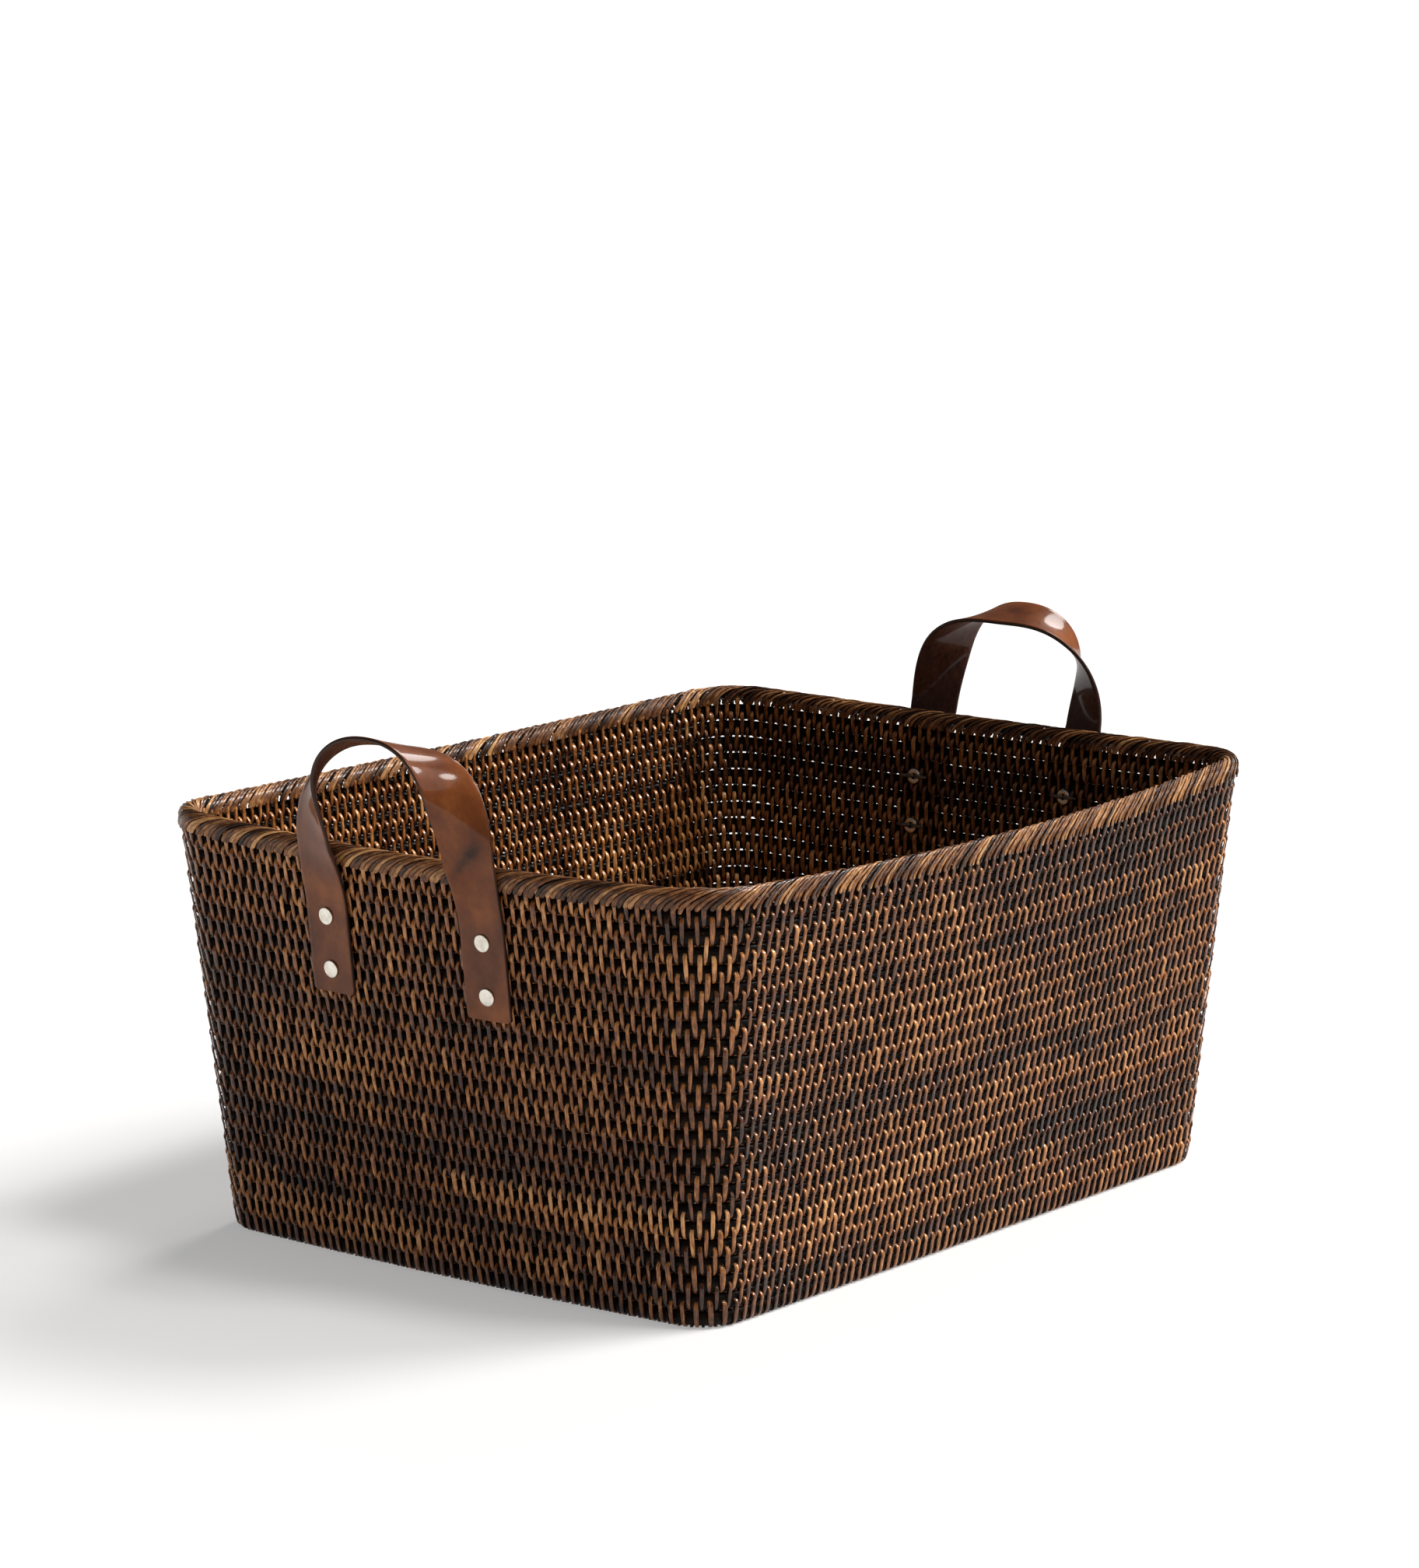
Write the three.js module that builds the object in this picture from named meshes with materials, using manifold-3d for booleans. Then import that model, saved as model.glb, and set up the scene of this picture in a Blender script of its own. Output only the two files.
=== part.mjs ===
// Woven rattan log basket with two riveted leather strap handles.
// Millimetres, +Z up. The origin is on the floor under the middle of the base.
// X runs along the long sides: the left end is at -X, the right end at +X, the front at -Y.
import * as THREE from "three";
import { mergeVertices } from "three/addons/utils/BufferGeometryUtils.js";
import Module from "manifold-3d";

const wasm = await Module();
wasm.setup();

// ---- Driving dimensions ----------------------------------------------------------------------

// The wall's middle surface: a rounded rectangle whose sides bow outwards, wider at the rim.
const RIM_LINE = { length: 622, width: 486, radius: 38, bowLong: 18, bowShort: 13 };
const BASE_LINE = { length: 569, width: 437, radius: 25, bowLong: 3, bowShort: 7 };
const RIM_SAG_LONG = 7; // how far the rim dips at the middle of a long side
const RIM_SAG_SHORT = 4.5;

const ROD_COUNT = 23;
const ROD_PITCH = 12.7;
const ROD_HALF_DEEP = 3.6;
const ROD_HALF_HIGH = 4.7; // the rods are taller than they are deep
const ROD_SIDES = 8;
const ROD_CLEARANCE = 0.5; // between a rod and the woven layer
const STRIP_THICK = 1.1;
const WALL_HALF = ROD_HALF_DEEP + ROD_CLEARANCE + STRIP_THICK; // the middle surface to a woven face
const GAP = 0.3; // clearance between touching pieces

const FIRST_ROD_Z = WALL_HALF + GAP;
const RIM_TOP_Z = 305;
const RIM_HALF_WIDE = 6.8;
const RIM_HALF_HIGH = 6.7;
const RIM_OUTER_DROP = 7.5; // from the rim's middle down to its outer edge, and its inner edge
const RIM_INNER_DROP = 6.2;
const RIM_WALL = 1.3;
const RIM_CORE_RADIUS = 4.1;
const RIM_Z = RIM_TOP_Z - RIM_HALF_HIGH;
const SKIN_TOP_Z = RIM_Z - 6.6; // the woven strips end under the rim's core

const STRAP_WIDTH = 38;
const STRAP_THICK = 3;
const HANDLE_Y = -10; // the right handle's middle; the left handle's is at the opposite y
const FOOT_SPREAD = 70; // from the handle's middle to the middle of each strap foot
const FOOT_BOTTOM_Z = 195;
const STRAP_LIFT_Z = 258; // above here the strap leaves the wall to pass the rim
const LOOP_BASE_Z = 300;
const LOOP_HEIGHT = 79;
const LOOP_POWER = 2.5; // squareness of the loop's arch
const ARCH_STEPS = 120;
const LEG_STEP = 3;
const STRAP_OFFSET = WALL_HALF + GAP + STRAP_THICK / 2;
const STRAP_CLEARANCE_AT_RIM = 7; // extra offset by the time the strap reaches LOOP_BASE_Z
const STRAP_LIFT_POWER = 1.4; // above 1, the strap leaves the wall gradually
const LOOP_LEAN = 6.5; // how far the loop's top stands out beyond its foot
const LEAN_RATE = 1.3; // above 1, the lean is complete before the loop's top
const TWIST_AT_RIM = 12 * (Math.PI / 180);
const LEG_TWIST_POWER = 2.2; // how late the twist comes on in the legs, and in the arch
const ARCH_TWIST_POWER = 1.7;
const TOP_TILT = 0.28; // radians; the loop's outer edge stands higher than its inner edge
const FOOT_CLIP = 0.82; // the foot's end is this share of the strap's width
const FOOT_REACH = 0.4; // shares of the strap's length, before the fold line cuts them
const LOOP_REACH = [0.2, 0.8];
const FOLD_X = 339; // the line that the loop folds about, just outside the rim and above it
const FOLD_Z = 309;
const FOLD_WEDGE = 60; // how far the wedge that's left for the loop to turn in reaches
const FOLD_REACH = 400; // longer than any part of the strap
const DIRECTION_REACH = 3; // the strap's direction is taken over this length either side of a point

const RIVET_ROWS = [16.5, 19.5]; // each rivet passes between two rods
const RIVET_HEAD_RADIUS = 6.2;
const RIVET_HEAD_THICK = 1.5;
const RIVET_HEAD_EDGE = 0.5; // the height of the head's rim
const RIVET_HEAD_SHOULDER = { inset: 0.8, height: 1.2 };
const SHANK_HALF = 1; // half the width of both legs side by side
const PRONG_HALF_WIDE = 1.2;
const PRONG_THICK = 1.0;
const PRONG_REACH = 12.5;
const PRONG_TAPER = 4; // the length of each leg's narrowing tip
const PRONG_TIP_HALF = 0.5;
const WASHER_RADIUS = 5.6;
const WASHER_HOLE = 2.4;
const WASHER_THICK = 1.0;

const SIDE_STEPS = 4; // segments along each side of a ring
const CORNER_STEPS = 4;
const SKIN_STEPS = 6; // segments up each wall
const LOOP_STEPS = 48;
const FOOT_STEPS = 26;

// ---- Materials -------------------------------------------------------------------------------

const LOOKS = {
  rod: { color: 0x2b1a10, roughness: 0.55, metalness: 0 },
  strip: { color: 0x5d3a20, roughness: 0.5, metalness: 0 },
  rim: { color: 0x6f4626, roughness: 0.5, metalness: 0 },
  leather: { color: 0x7a3f20, roughness: 0.45, metalness: 0 },
  nickel: { color: 0xd0ccc0, roughness: 0.4, metalness: 0.9 },
};

function namedMesh(name, geometry, look) {
  const mesh = new THREE.Mesh(geometry, new THREE.MeshStandardMaterial(LOOKS[look]));
  mesh.name = name;
  return mesh;
}

// ---- Closed surfaces from loops of points ----------------------------------------------------

// Joins equal loops of points into a skin. A closed run joins its last loop to its first;
// an open run is capped at both ends with fans, so its loops must be convex or star-shaped.
function skinLoops(loops, closed) {
  const size = loops[0].length;
  const positions = loops.flat().flatMap((p) => [p.x, p.y, p.z]);
  const index = [];
  const runs = closed ? loops.length : loops.length - 1;
  for (let i = 0; i < runs; i++) {
    const a = i * size;
    const b = ((i + 1) % loops.length) * size;
    for (let j = 0; j < size; j++) {
      const k = (j + 1) % size;
      index.push(a + j, b + j, b + k, a + j, b + k, a + k);
    }
  }
  if (!closed) {
    const last = (loops.length - 1) * size;
    const cap = THREE.ShapeUtils.triangulateShape(flatten(loops[0]), []);
    for (const [p, q, r] of cap) index.push(p, q, r);
    for (const [p, q, r] of cap) index.push(last + p, last + r, last + q);
  }
  const geometry = new THREE.BufferGeometry();
  geometry.setAttribute("position", new THREE.Float32BufferAttribute(positions, 3));
  geometry.setIndex(index);
  return facingOut(geometry);
}

// A planar loop's points in the plane's own two axes.
function flatten(loop) {
  const origin = loop[0];
  const u = loop[1].clone().sub(origin).normalize();
  const far = loop[Math.floor(loop.length / 2)].clone().sub(origin);
  const v = far.addScaledVector(u, -far.dot(u)).normalize();
  return loop.map((p) => {
    const d = p.clone().sub(origin);
    return new THREE.Vector2(d.dot(u), d.dot(v));
  });
}

function signedVolume(geometry) {
  const p = geometry.attributes.position;
  const index = geometry.index.array;
  const corner = [0, 1, 2].map(() => new THREE.Vector3());
  let sum = 0;
  for (let i = 0; i < index.length; i += 3) {
    corner.forEach((c, n) => c.fromBufferAttribute(p, index[i + n]));
    sum += corner[0].dot(corner[1].clone().cross(corner[2]));
  }
  return sum / 6;
}

function facingOut(geometry) {
  if (signedVolume(geometry) < 0) {
    const index = geometry.index.array;
    for (let i = 0; i < index.length; i += 3) {
      [index[i + 1], index[i + 2]] = [index[i + 2], index[i + 1]];
    }
  }
  geometry.computeVertexNormals();
  return geometry;
}

// ---- Booleans --------------------------------------------------------------------------------

function toSolid(geometry) {
  const bare = geometry.clone();
  bare.deleteAttribute("normal");
  bare.deleteAttribute("uv");
  const merged = mergeVertices(bare, 1e-4);
  return new wasm.Manifold(
    new wasm.Mesh({
      numProp: 3,
      vertProperties: new Float32Array(merged.attributes.position.array),
      triVerts: new Uint32Array(merged.index.array),
    }),
  );
}

function toGeometry(solid) {
  const made = solid.getMesh();
  const geometry = new THREE.BufferGeometry();
  geometry.setAttribute("position", new THREE.Float32BufferAttribute(made.vertProperties, 3));
  geometry.setIndex(new THREE.Uint32BufferAttribute(made.triVerts, 1));
  geometry.computeVertexNormals();
  return geometry;
}

function subtractAll(geometry, cutters) {
  return toGeometry(cutters.reduce((s, c) => s.subtract(toSolid(c)), toSolid(geometry)));
}

function uniteAll(geometries) {
  return toGeometry(geometries.map(toSolid).reduce((a, b) => a.add(b)));
}

// A box between two corners.
function boxBetween(lo, hi) {
  const size = hi.map((v, i) => v - lo[i]);
  const mid = hi.map((v, i) => (v + lo[i]) / 2);
  return new THREE.BoxGeometry(...size).translate(...mid);
}

// ---- The wall's shape ------------------------------------------------------------------------

const lerp = (a, b, t) => a + (b - a) * t;

function outlineAt(t) {
  const at = (key) => lerp(BASE_LINE[key], RIM_LINE[key], t);
  return {
    halfLong: at("length") / 2,
    halfWide: at("width") / 2,
    radius: at("radius"),
    bowLong: at("bowLong"),
    bowShort: at("bowShort"),
  };
}

// Corners are numbered anticlockwise from the front right; side n follows corner n.
const CORNERS = [
  { sx: 1, sy: -1, from: -90 },
  { sx: 1, sy: 1, from: 0 },
  { sx: -1, sy: 1, from: 90 },
  { sx: -1, sy: -1, from: 180 },
];

// A station is a place on the outline: a corner with an angle of 0 to 90 degrees into it,
// or the side after that corner with a share of 0 to 1 along it.
function plainPoint(station, o) {
  const atAngle = (corner, degrees) => {
    const a = THREE.MathUtils.degToRad(corner.from + degrees);
    return [
      corner.sx * (o.halfLong - o.radius) + o.radius * Math.cos(a),
      corner.sy * (o.halfWide - o.radius) + o.radius * Math.sin(a),
    ];
  };
  const here = CORNERS[station.corner];
  if (station.angle !== undefined) return atAngle(here, station.angle);
  const start = atAngle(here, 90);
  const end = atAngle(CORNERS[(station.corner + 1) % 4], 0);
  return [lerp(start[0], end[0], station.share), lerp(start[1], end[1], station.share)];
}

function middlePoint(station, t) {
  const o = outlineAt(t);
  const [x, y] = plainPoint(station, o);
  const fx = 1 - (x / o.halfLong) ** 2;
  const fy = 1 - (y / o.halfWide) ** 2;
  const sagLong = RIM_SAG_LONG * fx * Math.abs(y / o.halfWide) ** 8;
  const sagShort = RIM_SAG_SHORT * fy * Math.abs(x / o.halfLong) ** 8;
  return new THREE.Vector3(
    x + (o.bowShort * fy * x) / o.halfLong,
    y + (o.bowLong * fx * y) / o.halfWide,
    lerp(FIRST_ROD_Z, RIM_Z, t) - t * (sagLong + sagShort),
  );
}

function outwardAt(station, t) {
  const step = station.angle !== undefined ? { angle: 0.5 } : { share: 0.005 };
  const moved = (sign) => {
    const key = Object.keys(step)[0];
    return middlePoint({ ...station, [key]: station[key] + sign * step[key] }, t);
  };
  const along = moved(1).sub(moved(-1));
  return new THREE.Vector3(along.y, -along.x, 0).normalize();
}

function wallPoint(station, t, out, up) {
  return middlePoint(station, t)
    .addScaledVector(outwardAt(station, t), out)
    .add(new THREE.Vector3(0, 0, up));
}

const heightShare = (z) => (z - FIRST_ROD_Z) / (RIM_Z - FIRST_ROD_Z);

// All the stations of a whole ring.
function ringStations() {
  const stations = [];
  for (let corner = 0; corner < 4; corner++) {
    for (let i = 0; i <= CORNER_STEPS; i++) {
      stations.push({ corner, angle: (90 * i) / CORNER_STEPS });
    }
    for (let i = 1; i < SIDE_STEPS; i++) stations.push({ corner, share: i / SIDE_STEPS });
  }
  return stations;
}

// The stations of one wall, from the middle of one corner to the middle of the next.
function panelStations(corner) {
  const slit = 0.4; // degrees kept back from the mid-corner line on each side
  const half = [];
  for (let i = CORNER_STEPS / 2; i <= CORNER_STEPS; i++) {
    half.push((90 * i) / CORNER_STEPS);
  }
  const next = (corner + 1) % 4;
  return [
    ...half.map((a) => ({ corner, angle: a === 45 ? 45 + slit : a })),
    ...Array.from({ length: SIDE_STEPS - 1 }, (_, i) => ({ corner, share: (i + 1) / SIDE_STEPS })),
    ...half
      .map((a) => 90 - a)
      .reverse()
      .map((a) => ({ corner: next, angle: a === 45 ? 45 - slit : a })),
  ];
}

// ---- Rods, rim and woven skins ---------------------------------------------------------------

// An oval section as [outward, up] points; its underside may be shallower than its top.
function ovalSection(halfDeep, halfHigh, under = halfHigh) {
  return Array.from({ length: ROD_SIDES }, (_, i) => {
    const a = (2 * Math.PI * i) / ROD_SIDES;
    return [halfDeep * Math.cos(a), (Math.sin(a) < 0 ? under : halfHigh) * Math.sin(a)];
  });
}

// Sweeps a section, given as [outward, up] points, round the basket at one height.
function ringBar(t, section) {
  const loops = ringStations().map((s) => section.map(([out, up]) => wallPoint(s, t, out, up)));
  return skinLoops(loops, true);
}

// The lowest rod has a shallower underside, with the woven strips turned in under it.
function wallRod(row) {
  const under = row === 0 ? ROD_HALF_DEEP : ROD_HALF_HIGH;
  const section = ovalSection(ROD_HALF_DEEP, ROD_HALF_HIGH, under);
  return ringBar(heightShare(FIRST_ROD_Z + row * ROD_PITCH), section);
}

// The wrapped binding: a channel that is open below, where the wall comes up into it.
function rimWrap() {
  const arc = (halfWide, halfHigh, steps) =>
    Array.from({ length: steps + 1 }, (_, i) => {
      const a = (Math.PI * i) / steps;
      return [halfWide * Math.cos(a), halfHigh * Math.sin(a)];
    });
  const insideWide = RIM_HALF_WIDE - RIM_WALL;
  const insideHigh = RIM_HALF_HIGH - RIM_WALL;
  return ringBar(1, [
    [RIM_HALF_WIDE, -RIM_OUTER_DROP],
    ...arc(RIM_HALF_WIDE, RIM_HALF_HIGH, 6),
    [-RIM_HALF_WIDE, -RIM_INNER_DROP],
    [-insideWide, -RIM_INNER_DROP],
    ...arc(-insideWide, insideHigh, 4),
    [insideWide, -RIM_OUTER_DROP],
  ]);
}

// Evenly spaced heights, as shares of the wall's height, from the skins' top down to a foot.
function skinLevels(foot) {
  const top = heightShare(SKIN_TOP_Z);
  return Array.from({ length: SKIN_STEPS + 1 }, (_, i) => lerp(top, foot, i / SKIN_STEPS));
}

function panelSkin(corner, profile) {
  const loops = panelStations(corner).map((s) =>
    profile.map(([t, out, up]) => wallPoint(s, t, out, up ?? 0)),
  );
  return skinLoops(loops, false);
}

// One wall's outer face of woven strips, turned in under the lowest rod.
function outerSkin(corner) {
  const turns = [-35, -70, -105].map((d) => THREE.MathUtils.degToRad(d));
  const profile = (radius) => [
    ...skinLevels(0).map((t) => [t, radius]),
    ...turns.map((a) => [0, radius * Math.cos(a), radius * Math.sin(a)]),
  ];
  return panelSkin(corner, [...profile(WALL_HALF), ...profile(WALL_HALF - STRIP_THICK).reverse()]);
}

// One wall's inner face of woven strips, standing on the base.
function innerSkin(corner) {
  const levels = skinLevels(heightShare(FIRST_ROD_Z + WALL_HALF + GAP));
  const near = levels.map((t) => [t, STRIP_THICK - WALL_HALF]);
  const far = levels.map((t) => [t, -WALL_HALF]);
  return panelSkin(corner, [...near, ...far.reverse()]);
}

// The woven base lies inside the lowest rod.
function baseSheet() {
  const inset = -(ROD_HALF_DEEP + GAP);
  const top = FIRST_ROD_Z + WALL_HALF;
  const rim = ringStations().map((s) => wallPoint(s, 0, inset, 0));
  const at = (z) => rim.map((p) => new THREE.Vector3(p.x, p.y, z));
  return skinLoops([at(0), at(top)], false);
}

// ---- Straps ----------------------------------------------------------------------------------
// A handle is built on the right end wall (+X) and turned round for the left end.

// The right end wall's middle surface, between the two outline stations on either side of y.
function endWallFacet(y, t) {
  const edges = Array.from({ length: SIDE_STEPS + 1 }, (_, n) =>
    middlePoint({ corner: 0, share: n / SIDE_STEPS }, t),
  );
  const i = Math.min(SIDE_STEPS, Math.max(1, edges.findIndex((p) => p.y > y)));
  const along = edges[i].clone().sub(edges[i - 1]);
  const at = edges[i - 1].clone().addScaledVector(along, (y - edges[i - 1].y) / along.y);
  return { at, out: new THREE.Vector3(along.y, -along.x, 0).normalize(), t };
}

function endWallAt(y, z) {
  let t = heightShare(z);
  for (let pass = 0; pass < 3; pass++) {
    t *= (z - FIRST_ROD_Z) / (endWallFacet(y, t).at.z - FIRST_ROD_Z);
  }
  return endWallFacet(y, t);
}

// One leg of the strap, from the foot's end up past the rim.
function strapLeg(y) {
  const leg = [];
  for (let z = FOOT_BOTTOM_Z; z <= LOOP_BASE_Z; z += LEG_STEP) {
    const s = Math.max(0, (z - STRAP_LIFT_Z) / (LOOP_BASE_Z - STRAP_LIFT_Z));
    const { at, out } = endWallAt(y, z);
    at.addScaledVector(out, STRAP_OFFSET + STRAP_CLEARANCE_AT_RIM * s ** STRAP_LIFT_POWER);
    leg.push({ at: at.setY(y), out, twist: TWIST_AT_RIM * s ** LEG_TWIST_POWER });
  }
  return leg;
}

// The middle line of the strap: up one leg, over the arch and down the other leg.
function strapPath() {
  const rise = strapLeg(HANDLE_Y + FOOT_SPREAD);
  const fall = strapLeg(HANDLE_Y - FOOT_SPREAD).reverse();
  const start = rise[rise.length - 1].at;
  const end = fall[0].at;
  const tilt = new THREE.Vector3(Math.cos(TOP_TILT), 0, Math.sin(TOP_TILT));
  const arch = [];
  for (let i = 1; i < ARCH_STEPS; i++) {
    const c = Math.cos((Math.PI * i) / ARCH_STEPS);
    const across = Math.sign(c) * Math.abs(c) ** (2 / LOOP_POWER);
    const high = Math.sin((Math.PI * i) / ARCH_STEPS) ** (2 / LOOP_POWER);
    const lean = LOOP_LEAN * (1 - (1 - Math.min(1, high * LEAN_RATE)) ** 2);
    const x = lerp(end.x, start.x, (across + 1) / 2) + lean;
    const at = new THREE.Vector3(x, HANDLE_Y + FOOT_SPREAD * across, start.z + LOOP_HEIGHT * high);
    arch.push({ at, out: tilt.clone() });
  }
  const lengths = runLengths([rise[rise.length - 1], ...arch, fall[0]]);
  const peak = lengths[lengths.length - 1] / 2;
  arch.forEach((p, i) => {
    const s = 1 - Math.abs(lengths[i + 1] / peak - 1);
    p.twist = lerp(TWIST_AT_RIM, Math.PI / 2, Math.sin((Math.PI / 2) * s) ** ARCH_TWIST_POWER);
    const foot = i < ARCH_STEPS / 2 ? rise[0].out : fall[0].out;
    p.out.lerp(foot, 1 - Math.min(1, s * 2)).normalize();
  });
  return [...rise, ...arch, ...fall];
}

function runLengths(path) {
  let run = 0;
  return path.map((p, i) => (run += i ? p.at.distanceTo(path[i - 1].at) : 0));
}

// Evenly spaced places along the strap between two shares of its length, each with its own frame.
function strapFrames(path, from, to, steps) {
  const lengths = runLengths(path);
  const total = lengths[lengths.length - 1];
  const sample = (s) => {
    let i = 1;
    while (i < path.length - 1 && lengths[i] < s) i++;
    const f = (s - lengths[i - 1]) / (lengths[i] - lengths[i - 1]);
    return {
      at: path[i - 1].at.clone().lerp(path[i].at, f),
      out: path[i - 1].out.clone().lerp(path[i].out, f),
      twist: lerp(path[i - 1].twist, path[i].twist, f),
    };
  };
  return Array.from({ length: steps + 1 }, (_, n) => {
    const s = lerp(from, to, n / steps) * total;
    const here = sample(s);
    const ahead = sample(s + DIRECTION_REACH).at;
    const along = ahead.sub(sample(s - DIRECTION_REACH).at).normalize();
    const side = along.clone().cross(here.out).normalize();
    const out = side.clone().cross(along).normalize();
    const wide = side
      .multiplyScalar(-Math.cos(here.twist))
      .addScaledVector(out, Math.sin(here.twist))
      .normalize();
    return { at: here.at, wide, face: wide.clone().cross(along).normalize() };
  });
}

// The strap's flat section along a run of frames. The corners of the end at frame 0 are clipped.
function strapPiece(frames, clipped) {
  const loops = frames.map((f, i) => {
    const half = (STRAP_WIDTH / 2) * (clipped && i === 0 ? FOOT_CLIP : 1);
    const thick = STRAP_THICK / 2;
    return [
      [half, thick],
      [half, -thick],
      [-half, -thick],
      [-half, thick],
    ].map(([w, t]) => f.at.clone().addScaledVector(f.wide, w).addScaledVector(f.face, t));
  });
  return skinLoops(loops, false);
}

// Cuts away all but a right-angled wedge above (side 1) or below (side -1) the fold line, so that
// the loop and the feet meet along that line and clear each other as the loop folds.
function foldCutter(side) {
  const far = FOLD_REACH;
  const near = FOLD_WEDGE;
  const shape = new THREE.Shape();
  shape.moveTo(0, side * (GAP / 2));
  shape.lineTo(near, side * (near + GAP / 2));
  shape.lineTo(near, -side * far);
  shape.lineTo(-near, -side * far);
  shape.lineTo(-near, side * (near + GAP / 2));
  shape.closePath();
  const prism = new THREE.ExtrudeGeometry(shape, { depth: far, bevelEnabled: false });
  return prism
    .rotateX(Math.PI / 2)
    .translate(FOLD_X, far / 2, FOLD_Z);
}

// ---- Rivets and washers ----------------------------------------------------------------------

// The frame of the end wall at a rivet: x out of the wall, y along it, z up it.
function rivetMatrix(y, row) {
  const t = heightShare(FIRST_ROD_Z + row * ROD_PITCH);
  const { at, out: level } = endWallFacet(y, t);
  const along = new THREE.Vector3(0, 0, 1).cross(level).normalize();
  const up = endWallFacet(y, t + 0.02).at.sub(endWallFacet(y, t - 0.02).at).normalize();
  const out = along.clone().cross(up).normalize();
  return new THREE.Matrix4().makeBasis(out, along, out.clone().cross(along)).setPosition(at);
}

// A split rivet: a low domed head, and two legs that part over the washer inside the wall.
function rivetSolid() {
  const seat = STRAP_OFFSET + STRAP_THICK / 2 + GAP;
  const head = new THREE.LatheGeometry(
    [
      [0, 0],
      [RIVET_HEAD_RADIUS, 0],
      [RIVET_HEAD_RADIUS, RIVET_HEAD_EDGE],
      [RIVET_HEAD_RADIUS - RIVET_HEAD_SHOULDER.inset, RIVET_HEAD_SHOULDER.height],
      [0, RIVET_HEAD_THICK],
    ].map(([r, h]) => new THREE.Vector2(r, h)),
    16,
  )
    .rotateZ(-Math.PI / 2)
    .translate(seat, 0, 0);
  const inside = -(WALL_HALF + GAP + WASHER_THICK + GAP);
  const shank = boxBetween(
    [inside - PRONG_THICK / 2, -SHANK_HALF, -PRONG_HALF_WIDE],
    [seat + RIVET_HEAD_THICK / 4, SHANK_HALF, PRONG_HALF_WIDE],
  );
  const shoulder = PRONG_REACH - PRONG_TAPER;
  const legs = new THREE.Shape([
    new THREE.Vector2(-PRONG_REACH, -PRONG_TIP_HALF),
    new THREE.Vector2(-shoulder, -PRONG_HALF_WIDE),
    new THREE.Vector2(shoulder, -PRONG_HALF_WIDE),
    new THREE.Vector2(PRONG_REACH, -PRONG_TIP_HALF),
    new THREE.Vector2(PRONG_REACH, PRONG_TIP_HALF),
    new THREE.Vector2(shoulder, PRONG_HALF_WIDE),
    new THREE.Vector2(-shoulder, PRONG_HALF_WIDE),
    new THREE.Vector2(-PRONG_REACH, PRONG_TIP_HALF),
  ]);
  const spread = new THREE.ExtrudeGeometry(legs, { depth: PRONG_THICK, bevelEnabled: false });
  // The shape's x runs along the wall, its y up the wall and its depth inwards.
  const basis = new THREE.Matrix4().makeBasis(
    new THREE.Vector3(0, -1, 0),
    new THREE.Vector3(0, 0, 1),
    new THREE.Vector3(-1, 0, 0),
  );
  spread.applyMatrix4(basis).translate(inside, 0, 0);
  return uniteAll([head, shank, spread]);
}

function washerSolid() {
  const outer = -(WALL_HALF + GAP);
  const profile = [
    [WASHER_HOLE, 0],
    [WASHER_RADIUS, 0],
    [WASHER_RADIUS, WASHER_THICK],
    [WASHER_HOLE, WASHER_THICK],
    [WASHER_HOLE, 0],
  ].map(([r, h]) => new THREE.Vector2(r, h));
  const ring = new THREE.LatheGeometry(profile, 16).rotateZ(-Math.PI / 2);
  return ring.translate(outer - WASHER_THICK, 0, 0);
}

// The slot that a rivet's legs pass through.
function rivetSlot() {
  const halfWide = SHANK_HALF + GAP;
  const halfHigh = PRONG_HALF_WIDE + GAP;
  return boxBetween(
    [-WALL_HALF - STRAP_THICK, -halfWide, -halfHigh],
    [STRAP_OFFSET + STRAP_THICK, halfWide, halfHigh],
  );
}

// ---- Assembly --------------------------------------------------------------------------------

const rivetPlaces = [1, -1].flatMap((side) =>
  RIVET_ROWS.map((row, level) => ({
    matrix: rivetMatrix(HANDLE_Y + side * FOOT_SPREAD, row),
    label: (side > 0 ? "a" : "b") + (level ? "_upper" : "_lower"),
  })),
);
const slots = rivetPlaces.map(({ matrix }) => rivetSlot().applyMatrix4(matrix));

function handleGroup(end) {
  const group = new THREE.Group();
  const path = strapPath();
  const above = foldCutter(1);
  const below = foldCutter(-1);
  const legA = strapPiece(strapFrames(path, 0, FOOT_REACH, FOOT_STEPS), true);
  const legB = strapPiece(strapFrames(path, 1, 1 - FOOT_REACH, FOOT_STEPS), true);
  const arch = strapPiece(strapFrames(path, ...LOOP_REACH, LOOP_STEPS), false);
  const footA = subtractAll(legA, [below, ...slots]);
  const footB = subtractAll(legB, [below, ...slots]);
  const loop = subtractAll(arch, [above]);
  group.add(namedMesh(`handle_${end}_foot_a`, footA, "leather"));
  group.add(namedMesh(`handle_${end}_foot_b`, footB, "leather"));
  group.add(namedMesh(`handle_${end}_loop`, loop, "leather"));
  for (const { matrix, label } of rivetPlaces) {
    const rivet = namedMesh(`rivet_${end}_${label}`, rivetSolid(), "nickel");
    const washer = namedMesh(`washer_${end}_${label}`, washerSolid(), "nickel");
    for (const mesh of [rivet, washer]) {
      mesh.applyMatrix4(matrix);
      group.add(mesh);
    }
  }
  if (end === "left") group.rotation.z = Math.PI;
  return group;
}

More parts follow.
